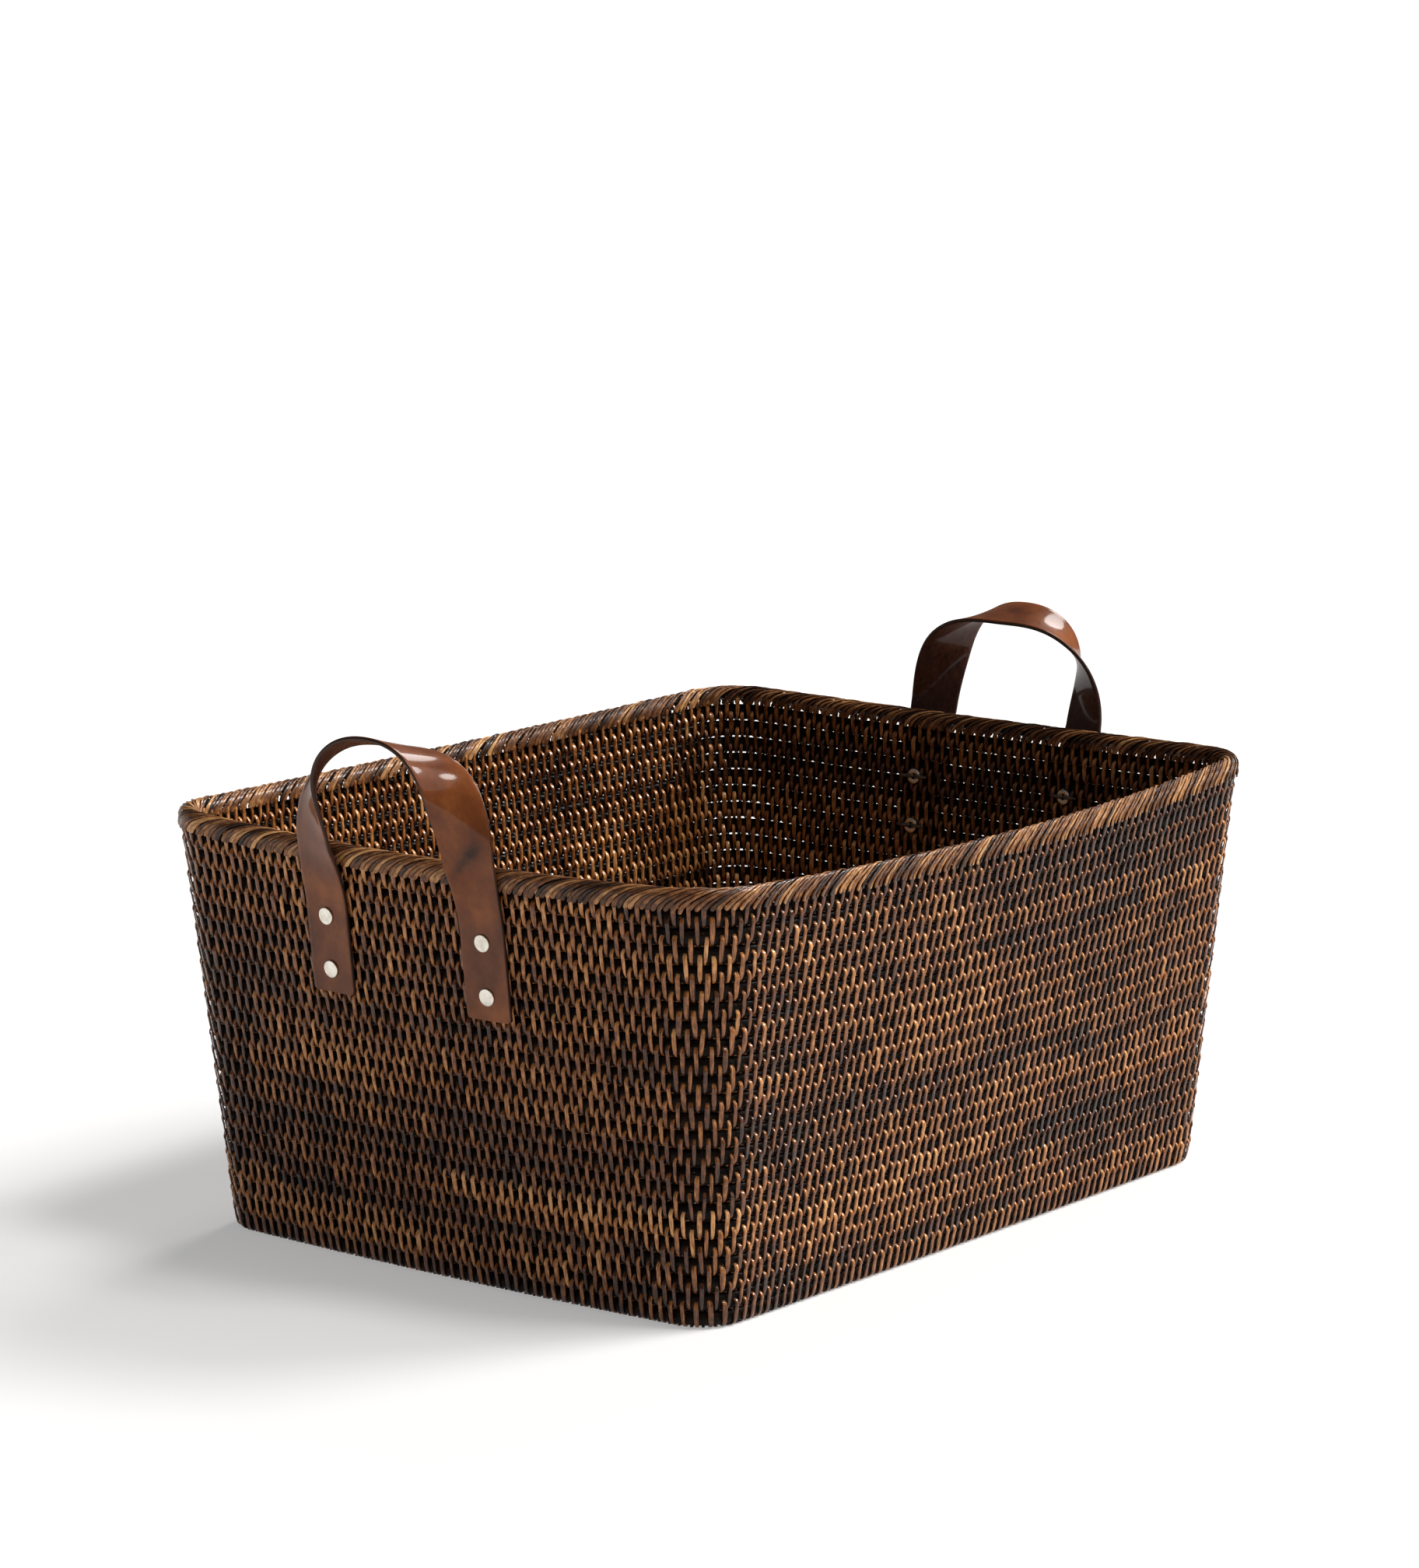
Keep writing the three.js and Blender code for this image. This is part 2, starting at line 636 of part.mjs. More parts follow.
function wallGroup() {
  const group = new THREE.Group();
  for (let row = 0; row < ROD_COUNT; row++) {
    const name = `wall_rod_${String(row + 1).padStart(2, "0")}`;
    group.add(namedMesh(name, wallRod(row), "rod"));
  }
  const halfTurn = new THREE.Matrix4().makeRotationZ(Math.PI);
  const leftSlots = slots.map((s) => s.clone().applyMatrix4(halfTurn));
  const walls = [
    { side: "right", corner: 0, holes: slots },
    { side: "back", corner: 1, holes: [] },
    { side: "left", corner: 2, holes: leftSlots },
    { side: "front", corner: 3, holes: [] },
  ];
  for (const { side, corner, holes } of walls) {
    const outer = outerSkin(corner);
    const inner = innerSkin(corner);
    const finish = (g) => (holes.length ? subtractAll(g, holes) : g);
    group.add(namedMesh(`weave_outer_${side}`, finish(outer), "strip"));
    group.add(namedMesh(`weave_inner_${side}`, finish(inner), "strip"));
  }
  group.add(namedMesh("base_weave", baseSheet(), "strip"));
  return group;
}

const basket = new THREE.Group();
basket.name = "log_basket";
basket.add(wallGroup());
basket.add(namedMesh("rim_core", ringBar(1, ovalSection(RIM_CORE_RADIUS, RIM_CORE_RADIUS)), "rod"));
basket.add(namedMesh("rim_wrap", rimWrap(), "rim"));
basket.add(handleGroup("left"));
basket.add(handleGroup("right"));

export default basket;
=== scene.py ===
"""A woven rattan log basket with leather strap handles: its looks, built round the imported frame.

Metres, +Z up. X runs along the long sides, the left end is at -X and the front at -Y.
"""

import math

import bpy
import numpy as np
from mathutils import Matrix, Vector


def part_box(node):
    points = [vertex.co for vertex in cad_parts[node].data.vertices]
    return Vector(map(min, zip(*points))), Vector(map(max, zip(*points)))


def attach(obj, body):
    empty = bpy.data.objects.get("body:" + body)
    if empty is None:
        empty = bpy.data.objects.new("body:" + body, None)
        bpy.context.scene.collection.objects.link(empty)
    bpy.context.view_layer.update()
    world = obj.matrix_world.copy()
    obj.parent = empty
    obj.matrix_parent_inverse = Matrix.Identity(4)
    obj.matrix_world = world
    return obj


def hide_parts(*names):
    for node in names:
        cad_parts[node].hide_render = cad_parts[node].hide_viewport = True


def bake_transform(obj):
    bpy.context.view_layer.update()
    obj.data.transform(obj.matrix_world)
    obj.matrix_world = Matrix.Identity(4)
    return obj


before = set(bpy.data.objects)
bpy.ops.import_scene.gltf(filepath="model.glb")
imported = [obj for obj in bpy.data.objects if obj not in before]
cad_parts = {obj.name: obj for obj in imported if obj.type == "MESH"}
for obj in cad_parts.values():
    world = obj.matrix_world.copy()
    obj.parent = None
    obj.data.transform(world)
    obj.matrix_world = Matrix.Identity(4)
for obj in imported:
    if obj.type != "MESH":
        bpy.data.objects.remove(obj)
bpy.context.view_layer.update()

MM = 0.001
RNG = np.random.default_rng(11)

# ---- The wall's shape, worked out from the frame's first rod and rim rod ----

CAD_ROD_HALF_DEEP = 3.6 * MM
CAD_ROD_HALF_HIGH = 4.7 * MM
CORE_RADIUS = 4.1 * MM
BASE_BOW = (3 * MM, 7 * MM)  # how far the long and the short sides bow outwards
RIM_BOW = (18 * MM, 13 * MM)
RIM_SAG = (7 * MM, 4.5 * MM)  # how far the rim dips in the middle of the long and short sides
BASE_CORNER = 25 * MM
RIM_CORNER = 38 * MM
ROD_COUNT = sum(name.startswith("wall_rod_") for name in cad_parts)

_, first_rod_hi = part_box("wall_rod_01")
_, second_rod_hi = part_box("wall_rod_02")
_, core_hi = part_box("rim_core")
FIRST_Z = first_rod_hi.z - CAD_ROD_HALF_HIGH
RIM_Z = core_hi.z - CORE_RADIUS
ROD_PITCH = second_rod_hi.z - first_rod_hi.z
BASE_HALF = (
    first_rod_hi.x - CAD_ROD_HALF_DEEP - BASE_BOW[1],
    first_rod_hi.y - CAD_ROD_HALF_DEEP - BASE_BOW[0],
)
RIM_HALF = (core_hi.x - CORE_RADIUS - RIM_BOW[1], core_hi.y - CORE_RADIUS - RIM_BOW[0])
ROW_SHARE = ROD_PITCH / (RIM_Z - FIRST_Z)  # one row as a share of the wall's height

CORNER_X = np.array([1, 1, -1, -1])
CORNER_Y = np.array([-1, 1, 1, -1])
CORNER_FROM = np.radians([-90, 0, 90, 180])
SAG_POWER = 8  # how closely the rim's dip keeps to the sides, away from the corners
Q_TURNS = 8  # q once round the wall: a unit for each corner and one for each side
Q_SAMPLES = 3201
Q_STEP = 0.01  # for finding the direction round the wall


def lerp(a, b, t):
    return a + (b - a) * t


def wall_middle(q, t):
    """Points on the wall's middle surface, t from 0 at the first rod to 1 at the rim.

    q goes round the wall: each corner takes an even unit of it, and the side after it the next.
    """
    q, t = np.broadcast_arrays(np.asarray(q, float) % Q_TURNS, np.asarray(t, float))
    half_x = lerp(BASE_HALF[0], RIM_HALF[0], t)
    half_y = lerp(BASE_HALF[1], RIM_HALF[1], t)
    radius = lerp(BASE_CORNER, RIM_CORNER, t)
    corner = (q // 2).astype(int)
    turn = np.minimum(q % 2, 1)
    share = np.maximum(q % 2 - 1, 0)
    after = (corner + 1) % 4

    def at(which, angle):
        x = CORNER_X[which] * (half_x - radius) + radius * np.cos(angle)
        y = CORNER_Y[which] * (half_y - radius) + radius * np.sin(angle)
        return x, y

    x0, y0 = at(corner, CORNER_FROM[corner] + turn * math.pi / 2)
    x1, y1 = at(after, CORNER_FROM[after])
    x = lerp(x0, x1, share)
    y = lerp(y0, y1, share)
    fx = 1 - (x / half_x) ** 2
    fy = 1 - (y / half_y) ** 2
    sag = RIM_SAG[0] * fx * np.abs(y / half_y) ** SAG_POWER
    sag = sag + RIM_SAG[1] * fy * np.abs(x / half_x) ** SAG_POWER
    return np.stack(
        [
            x + lerp(BASE_BOW[1], RIM_BOW[1], t) * fy * x / half_x,
            y + lerp(BASE_BOW[0], RIM_BOW[0], t) * fx * y / half_y,
            lerp(FIRST_Z, RIM_Z, t) - t * sag,
        ],
        axis=-1,
    )


def unit(v):
    return v / np.linalg.norm(v, axis=-1, keepdims=True)


def path_run(points):
    """The length along a path, from 0 at its first point."""
    steps = np.linalg.norm(np.diff(points, axis=0), axis=1)
    return np.concatenate([[0], np.cumsum(steps)])


def wall_along(q, t):
    """The level direction round the wall, anticlockwise from above."""
    along = wall_middle(np.asarray(q) + Q_STEP, t) - wall_middle(np.asarray(q) - Q_STEP, t)
    along[..., 2] = 0
    return unit(along)


def outward(along):
    """The level direction out of the wall, from the direction round it."""
    return np.stack([along[..., 1], -along[..., 0], np.zeros_like(along[..., 0])], axis=-1)


def wall_point(q, t, out, up=0.0):
    """A point off the wall's middle surface, and the level direction round the wall there."""
    along = wall_along(q, t)
    point = wall_middle(q, t) + outward(along) * np.asarray(out)[..., None]
    point[..., 2] += up
    return point, along


class Ring:
    """The way round the wall at one height, measured by length."""

    def __init__(self, t):
        self.q = np.linspace(0, Q_TURNS, Q_SAMPLES)
        self.run = path_run(wall_middle(self.q, t))
        self.length = self.run[-1]

    def q_at(self, length):
        return np.interp(np.asarray(length) % self.length, self.run, self.q)


RIM_RING = Ring(1.0)
ROW_RINGS = [Ring(row * ROW_SHARE) for row in range(ROD_COUNT)]


# ---- Meshes ----


def make_object(name, verts, faces, attributes=()):
    """A mesh object from an array of points and a list of index arrays, one for each face size."""
    mesh = bpy.data.meshes.new(name)
    verts = np.asarray(verts, np.float32).reshape(-1, 3)
    mesh.vertices.add(len(verts))
    mesh.vertices.foreach_set("co", verts.ravel())
    corners = np.concatenate([f.ravel() for f in faces]).astype(np.int32)
    sizes = np.concatenate([np.full(len(f), f.shape[1]) for f in faces])
    mesh.loops.add(len(corners))
    mesh.loops.foreach_set("vertex_index", corners)
    mesh.polygons.add(len(sizes))
    starts = np.concatenate([[0], np.cumsum(sizes)[:-1]]).astype(np.int32)
    mesh.polygons.foreach_set("loop_start", starts)
    mesh.polygons.foreach_set("use_smooth", np.full(len(sizes), True))
    mesh.update(calc_edges=True)
    for key, values in attributes:
        values = np.asarray(values, np.float32)
        if values.ndim == 1:
            mesh.attributes.new(key, "FLOAT", "POINT").data.foreach_set("value", values)
        else:
            data = mesh.attributes.new(key, "FLOAT_VECTOR", "POINT").data
            data.foreach_set("vector", values.ravel())
    obj = bpy.data.objects.new(name, mesh)
    bpy.context.scene.collection.objects.link(obj)
    return obj


def tube_faces(runs, rings, around, closed=False):
    """Side faces, and end faces on open tubes, of many tubes whose points are in ring order."""
    run = np.arange(runs)[:, None, None] * rings * around
    ring = np.arange(rings if closed else rings - 1)[None, :, None]
    k = np.arange(around)[None, None, :]
    after = (k + 1) % around
    here = run + ring * around
    there = run + ((ring + 1) % rings) * around
    sides = np.stack(np.broadcast_arrays(here + k, here + after, there + after, there + k), axis=-1)
    faces = [sides.reshape(-1, 4)]
    if not closed:
        first = run[:, :, 0] + np.arange(around)[None, ::-1]
        last = run[:, :, 0] + (rings - 1) * around + np.arange(around)[None, :]
        faces.append(np.concatenate([first, last]))
    return faces


# Sections of a strip, across and through it, as shares of its half width and half thickness.
REED = np.array([(1, 0), (0.55, 0.9), (-0.55, 0.9), (-1, 0), (-0.55, -0.9), (0.55, -0.9)])
HALF_FLAT_REED = [(1, -0.6), (0.97, 0.25), (0.74, 0.86), (0.56, 0.93)]
FLAT_REED = np.array(HALF_FLAT_REED + [(-across, through) for across, through in HALF_FLAT_REED[::-1]])
STRIP_SHIFT = 0.37  # how far each strip's grain is moved from its neighbour's in the noise


def sweep(centres, across, half_wide, half_thick, section=REED):
    """Points of flat strips swept along centres, an array of strips by rings by 3."""
    tangent = unit(np.gradient(centres, axis=1))
    across = unit(across - tangent * np.sum(across * tangent, axis=-1, keepdims=True))
    face = np.cross(tangent, across)
    wide = np.broadcast_to(half_wide, centres.shape[:2])[..., None, None]
    thick = np.broadcast_to(half_thick, centres.shape[:2])[..., None, None]
    return (
        centres[:, :, None]
        + across[:, :, None] * section[:, :1] * wide
        + face[:, :, None] * section[:, 1:] * thick
    )


def strip_facts(shape, tone, length, section):
    """The attributes that the strip materials read: tone, and a place across and along."""
    runs, rings, around = shape
    tones = np.broadcast_to(tone[:, :, None], shape).ravel()
    place = np.zeros((*shape, 3))
    place[..., 0] = section[:, 0]
    place[..., 1] = length[:, :, None]
    place[..., 2] = np.arange(runs)[:, None, None] * STRIP_SHIFT
    return [("tone", tones), ("place", place.reshape(-1, 3))]


def strip_object(name, centres, across, half_wide, half_thick, tone, material, section=REED):
    """Many strips as one object, with the attributes that its material reads."""
    points = sweep(centres, across, half_wide, half_thick, section)
    runs, rings, around = points.shape[:3]
    steps = np.linalg.norm(np.diff(centres, axis=1), axis=2)
    length = np.concatenate([np.zeros((runs, 1)), np.cumsum(steps, axis=1)], axis=1)
    facts = strip_facts((runs, rings, around), tone, length, section)
    obj = make_object(name, points, tube_faces(runs, rings, around), facts)
    obj.data.materials.append(material)
    return obj


def finish_piece(obj, slot, *nodes, body="basket"):
    """The body a piece rides on, its material slot (not used), and the frame's nodes that it stands for."""
    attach(obj, body)
    if nodes:
        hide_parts(*nodes)


# ---- Materials ----

COAT_ROUGHNESS = 0.1
NICK_COLOUR = (0.55, 0.31, 0.12)  # where the stain is worn through
SCUFF_COLOUR = (0.008, 0.004, 0.003)


class Nodes:
    """A material's node tree, with short calls for the nodes used here."""

    def __init__(self, name, **shader):
        self.material = bpy.data.materials.new(name)
        self.material.use_nodes = True
        self.tree = self.material.node_tree
        self.shader = self.tree.nodes["Principled BSDF"]
        for key, value in shader.items():
            self.shader.inputs[key.replace("_", " ")].default_value = value

    def add(self, kind, **values):
        node = self.tree.nodes.new(kind)
        for key, value in values.items():
            if hasattr(node, key):
                setattr(node, key, value)
            else:
                node.inputs[key.replace("_", " ")].default_value = value
        return node

    def link(self, source, target):
        self.tree.links.new(source, target)

    def attribute(self, name):
        return self.add("ShaderNodeAttribute", attribute_name=name)

    def noise(self, place, stretch, detail, roughness=0.55):
        """Noise over a place, with so many features to a unit each way."""
        scaled = self.add("ShaderNodeVectorMath", operation="MULTIPLY")
        self.link(place, scaled.inputs[0])
        scaled.inputs[1].default_value = stretch
        node = self.add("ShaderNodeTexNoise", Scale=1.0, Detail=detail, Roughness=roughness)
        self.link(scaled.outputs[0], node.inputs["Vector"])
        return node.outputs["Fac"]

    def math(self, operation, a, b, clamp=False):
        node = self.add("ShaderNodeMath", operation=operation, use_clamp=clamp)
        for socket, value in zip(node.inputs, (a, b)):
            if isinstance(value, (int, float)):
                socket.default_value = value
            else:
                self.link(value, socket)
        return node.outputs[0]

    def span(self, value, low, high, out_low=0.0, out_high=1.0):
        """A value's range from low to high, spread over another range and held at its ends."""
        node = self.add("ShaderNodeMapRange")
        self.link(value, node.inputs["Value"])
        ends = {"From Min": low, "From Max": high, "To Min": out_low, "To Max": out_high}
        for key, number in ends.items():
            node.inputs[key].default_value = number
        return node.outputs["Result"]

    def ramp(self, value, stops):
        node = self.add("ShaderNodeValToRGB")
        self.link(value, node.inputs["Fac"])
        elements = node.color_ramp.elements
        while len(elements) < len(stops):
            elements.new(0.5)
        for element, (place, colour) in zip(elements, stops):
            element.position = place
            element.color = (*colour, 1)
        return node.outputs["Color"]

    def mix(self, factor, a, b):
        """Two colours mixed; sockets 0, 6 and 7 are the node's factor and colours."""
        node = self.add("ShaderNodeMix", data_type="RGBA")
        for socket, value in zip((node.inputs[0], node.inputs[6], node.inputs[7]), (factor, a, b)):
            if isinstance(value, tuple):
                socket.default_value = (*value, 1)
            else:
                self.link(value, socket)
        return node.outputs[2]

    def mix_values(self, factor, a, b):
        """Two numbers mixed; sockets 2 and 3 are the node's numbers."""
        node = self.add("ShaderNodeMix", data_type="FLOAT")
        self.link(factor, node.inputs[0])
        self.link(a, node.inputs[2])
        self.link(b, node.inputs[3])
        return node.outputs[0]

    def bump(self, height, strength, distance):
        node = self.add("ShaderNodeBump", Strength=strength, Distance=distance)
        self.link(height, node.inputs["Height"])
        self.link(node.outputs["Normal"], self.shader.inputs["Normal"])

    def colour(self, socket):
        self.link(socket, self.shader.inputs["Base Color"])

    def roughness(self, socket):
        self.link(socket, self.shader.inputs["Roughness"])


def strip_material(name, stops, coat, fine, rough, specular):
    """Stained rattan: a tone for each strip, fine grain along it, pale nicks and dark stain."""
    m = Nodes(name, Coat_Weight=coat, Coat_Roughness=COAT_ROUGHNESS, Specular_IOR_Level=specular)
    tone = m.attribute("tone").outputs["Fac"]
    place = m.attribute("place").outputs["Vector"]
    streaks = m.noise(place, (3.2 * fine, 110, 40), 5.0, 0.65)
    blotches = m.noise(place, (0.6, 160, 31), 2.0)
    fibres = m.noise(place, (9.0 * fine, 260, 40), 2.0, 0.7)
    mixed = m.math("ADD", tone, m.span(streaks, 0.3, 0.7, -0.24, 0.24))
    mixed = m.math("ADD", mixed, m.span(blotches, 0.3, 0.7, -0.18, 0.18), clamp=True)
    colour = m.ramp(mixed, stops)
    nicks = m.span(fibres, 0.66, 0.76)
    colour = m.mix(m.math("MULTIPLY", nicks, 0.55), colour, NICK_COLOUR)
    stain = m.span(streaks, 0.36, 0.24)
    colour = m.mix(m.math("MULTIPLY", stain, 0.75), colour, stops[0][1])
    m.colour(colour)
    m.roughness(m.span(fibres, 0.3, 0.7, *rough))
    m.bump(streaks, 0.5, 0.00025)
    return m.material


def leather_material(name, grain, flesh, edge):
    """Waxed strap leather: grain outside, flesh inside, dark cut edges, creases and a few scuffs."""
    m = Nodes(name, Coat_Weight=0.42, Coat_Roughness=COAT_ROUGHNESS, Specular_IOR_Level=0.05)
    side = m.attribute("side").outputs["Fac"]
    place = m.attribute("place").outputs["Vector"]
    scuff = m.attribute("scuff").outputs["Fac"]
    cloud = m.noise(place, (34, 24, 34), 5.0, 0.62)
    pores = m.noise(place, (1100, 1100, 1100), 3.0, 0.65)
    creases = m.noise(place, (130, 190, 130), 4.0, 0.6)
    wrinkles = m.noise(place, (420, 160, 420), 4.0, 0.7)
    top = m.ramp(m.span(cloud, 0.28, 0.72), grain)
    under = m.ramp(m.span(wrinkles, 0.3, 0.7), flesh)
    colour = m.mix(m.span(side, 0.45, 0.55), under, top)
    rim = m.math("MULTIPLY", m.span(side, 0.3, 0.4), m.span(side, 0.7, 0.6))
    colour = m.mix(rim, colour, edge)
    smear = m.math("MULTIPLY", scuff, m.span(creases, 0.35, 0.6, 0.55, 1.0))
    colour = m.mix(m.math("MULTIPLY", smear, 0.95), colour, SCUFF_COLOUR)
    m.colour(colour)
    rough_top = m.span(cloud, 0.3, 0.7, 0.36, 0.46)
    rough_under = m.span(wrinkles, 0.3, 0.7, 0.6, 0.8)
    m.roughness(m.mix_values(m.span(side, 0.45, 0.55), rough_under, rough_top))
    grain_height = m.math("MULTIPLY", pores, 0.22)
    flesh_height = m.math("MULTIPLY", wrinkles, m.span(side, 0.55, 0.45, 0.0, 1.0))
    height = m.math("ADD", grain_height, flesh_height)
    height = m.math("ADD", height, m.math("MULTIPLY", creases, 0.18))
    m.bump(height, 0.3, 0.0005)
    return m.material


def metal_material(name, colour, dull, roughness):
    """Plated steel with fine scratches and a little tarnish."""
    m = Nodes(name, Metallic=1.0)
    place = m.add("ShaderNodeTexCoord").outputs["Object"]
    scratches = m.noise(place, (3000, 500, 900), 2.0)
    tarnish = m.noise(place, (160, 160, 160), 4.0)
    m.colour(m.mix(m.span(tarnish, 0.45, 0.75), colour, dull))
    m.roughness(m.span(scratches, 0.3, 0.7, roughness - 0.07, roughness + 0.1))
    m.bump(scratches, 0.12, 0.0002)
    return m.material


STRIP_STOPS = [
    (0.0, (0.012, 0.004, 0.002)),
    (0.28, (0.055, 0.017, 0.006)),
    (0.52, (0.18, 0.057, 0.015)),
    (0.78, (0.41, 0.156, 0.042)),
    (1.0, (0.68, 0.34, 0.13)),
]
RIM_STOPS = [
    (0.0, (0.012, 0.005, 0.003)),
    (0.3, (0.06, 0.022, 0.009)),
    (0.6, (0.23, 0.088, 0.03)),
    (1.0, (0.68, 0.36, 0.14)),
]
ROD_STOPS = [
    (0.0, (0.002, 0.0012, 0.001)),
    (0.5, (0.006, 0.0032, 0.0022)),
    (1.0, (0.02, 0.0105, 0.006)),
]
weave_look = strip_material("stained_rattan_strip", STRIP_STOPS, 0.8, 1.0, (0.34, 0.55), 0.05)
rim_look = strip_material("stained_rim_binding", RIM_STOPS, 0.4, 2.2, (0.34, 0.55), 0.12)
rod_look = strip_material("dark_rattan_rod", ROD_STOPS, 0.06, 1.0, (0.4, 0.7), 0.06)
leather_look = leather_material(
    "strap_leather",
    [(0.0, (0.08, 0.021, 0.008)), (0.5, (0.165, 0.046, 0.013)), (1.0, (0.28, 0.085, 0.022))],
    [(0.0, (0.035, 0.013, 0.009)), (0.5, (0.07, 0.024, 0.014)), (1.0, (0.11, 0.04, 0.022))],
    (0.035, 0.014, 0.008),
)
nickel_look = metal_material("nickel_plate", (0.78, 0.74, 0.66), (0.55, 0.5, 0.42), 0.3)
steel_look = metal_material("dark_steel", (0.16, 0.14, 0.12), (0.08, 0.065, 0.05), 0.45)

# ---- The woven wall ----

BARS_PER_ROW = 242
BAR_HALF_WIDE = 1.55 * MM
BAR_HALF_THICK = 0.7 * MM
BAR_OUT = 4.5 * MM  # from the wall's middle surface to the middle of a bar on its rod
BAR_DROP = 6.3 * MM  # from a rod's middle down to the middle of the bars' turn under it
FIRST_BAR_DROP = 4.7 * MM  # the same on the first rod, which stands nearly on the floor
BAR_TURN = np.radians([-112, -84, -56, -28, 0])
BAR_FACE = np.array([(4.9, 3.6), (5.05, 7.4)]) * MM  # out and up, above the turn
BAR_ENTRY_OUT = np.array([5.45, 5.45, 5.2, 4.65, 3.95, 3.2, 1.9]) * MM  # then over into the next rod
BAR_ENTRY_UP = np.array([8.6, 9.7, 10.8, 11.8, 12.6, 13.2, 13.7]) * MM
BAR_ENTRY = np.stack([BAR_ENTRY_OUT, BAR_ENTRY_UP], axis=1)
# Up a bar from its rod's middle: its tone, with painted shade at the lower end under the rod and a painted
# highlight on the top bend, and its width.
BAR_PAINTED_SHADE_AND_HIGHLIGHT = (np.array([-6, 0, 9.5, 12, 13.5]) * MM, [-0.2, 0, 0, 0.16, 0.2])
BAR_TAPER = (np.array([-6, -3, 3, 11, 13.5]) * MM, [0.55, 0.85, 1.05, 1.0, 0.85])
# How unlike one another the bars are: spreads of normal values, and limits to them.
BAR_STRAY = 0.3 * MM  # round the wall
BAR_LEAN = 0.55 * MM
BAR_BEND = 0.3 * MM
BAR_REACH = (0.5 * MM, 10 * MM)  # upwards, and how far above the rod's middle it is in full
BAR_LOOSE = 0.13 * MM  # off the wall at the bar's top
BAR_SWELL = 0.015
BAR_WIDE_SPREAD, BAR_WIDE_LIMITS = 0.12, (0.72, 1.3)
BAR_THICK_SPREAD, BAR_THICK_LIMITS = 0.1, (0.85, 1.15)
# Tones from 0, dark, to 1, light: the middle, and the spreads of cut strips, drifts and bars.
TONE_MIDDLE = 0.5
TONE_RANGE = (0.04, 0.98)
STRIP_TONE_SPREAD = 0.13
STRIP_BARS = (14, 70)  # fewest and most bars from one strip
STRIP_CUTS = 20
TONE_DRIFT, DRIFT_BARS = 0.04, 9
BAR_TONE_SPREAD = 0.09
SIDES = ("right", "back", "left", "front")
INNER_LIGHTER = 0.12  # how much lighter the stain is on the inside


def bar_profile(row):
    """Out and up along one bar: from under its rod, up its face and into the rod above."""
    drop = FIRST_BAR_DROP if row == 0 else BAR_DROP
    turn = np.stack([BAR_OUT * np.cos(BAR_TURN), drop * np.sin(BAR_TURN)], axis=1)
    return np.concatenate([turn, BAR_FACE, BAR_ENTRY])


def row_tones():
    """Light and dark for every bar: runs of bars cut from one strip share a tone."""
    tones = np.empty((ROD_COUNT, 2, BARS_PER_ROW))
    for row in range(ROD_COUNT):
        for layer in range(2):
            cuts = np.cumsum(RNG.integers(*STRIP_BARS, STRIP_CUTS))
            runs = np.searchsorted(cuts, np.arange(BARS_PER_ROW))
            tones[row, layer] = RNG.normal(TONE_MIDDLE, STRIP_TONE_SPREAD, len(cuts) + 1)[runs]
    drift = smooth_noise(BARS_PER_ROW, DRIFT_BARS) * TONE_DRIFT
    tones += drift + RNG.normal(0, BAR_TONE_SPREAD, tones.shape)
    tones[:, 1] += INNER_LIGHTER
    return np.clip(tones, *TONE_RANGE)


def smooth_noise(count, reach):
    """Random values round a ring, smoothed over a number of neighbours."""
    values = RNG.normal(0, 1, count)
    kernel = np.hanning(reach + 2)[1:-1]
    wrapped = np.concatenate([values[-reach:], values, values[:reach]])
    values = np.convolve(wrapped, kernel, mode="same")[reach:-reach]
    return values / values.std()


def bar_rows(layer, low, high, tones):
    """Middle lines, directions, widths, thicknesses and tones of one layer's bars from low to high."""
    parts = [bar_row(row, layer, np.arange(low, high), tones) for row in range(ROD_COUNT)]
    return [np.concatenate(values) for values in zip(*parts)]


def bar_row(row, layer, bars, tones):
    """The same for the bars of one row, each a little out of place, loose and uneven."""
    side_out, side_up = bar_profile(row).T
    each = (len(bars), 1)
    ring = ROW_RINGS[row]
    shift = 0.5 * ((row + layer) % 2)
    middle = (bars + shift) / BARS_PER_ROW * ring.length
    middle = middle + RNG.normal(0, BAR_STRAY, len(bars))
    rise = (side_up - side_up[0]) / (side_up[-1] - side_up[0]) - 0.5
    lean = RNG.normal(0, BAR_LEAN, each) * rise + RNG.normal(0, BAR_BEND, each) * rise**2
    q = ring.q_at(middle[:, None] + lean)
    up = side_up + RNG.normal(0, BAR_REACH[0], each) * np.clip(side_up / BAR_REACH[1], 0, 1)
    loose = RNG.normal(0, BAR_LOOSE, each) * np.clip(rise + 0.5, 0, 1)
    out = side_out * RNG.normal(1, BAR_SWELL, each) + loose
    t = row * ROW_SHARE + up / ROD_PITCH * ROW_SHARE
    sign = 1 if layer == 0 else -1
    centres, along = wall_point(q, t, out * sign)
    taper = np.interp(side_up, *BAR_TAPER)
    wide = BAR_HALF_WIDE * np.clip(RNG.normal(1, BAR_WIDE_SPREAD, each), *BAR_WIDE_LIMITS) * taper
    thickness = RNG.normal(1, BAR_THICK_SPREAD, (len(bars), len(side_up)))
    thick = BAR_HALF_THICK * np.clip(thickness, *BAR_THICK_LIMITS)
    # Each bar's tone takes painted shade at its lower end under the rod and a painted highlight on its top
    # bend.
    tone = tones[row, layer, bars % BARS_PER_ROW][:, None] + np.interp(side_up, *BAR_PAINTED_SHADE_AND_HIGHLIGHT)
    return centres, along * -sign, wide, thick, tone


def side_corners():
    """Where the corners' middles lie round the rim, as shares of its length, and the first again."""
    middles = np.array([0.5, 2.5, 4.5, 6.5])
    corners = np.interp(middles, RIM_RING.q, RIM_RING.run / RIM_RING.length)
    return np.append(corners, corners[0] + 1)


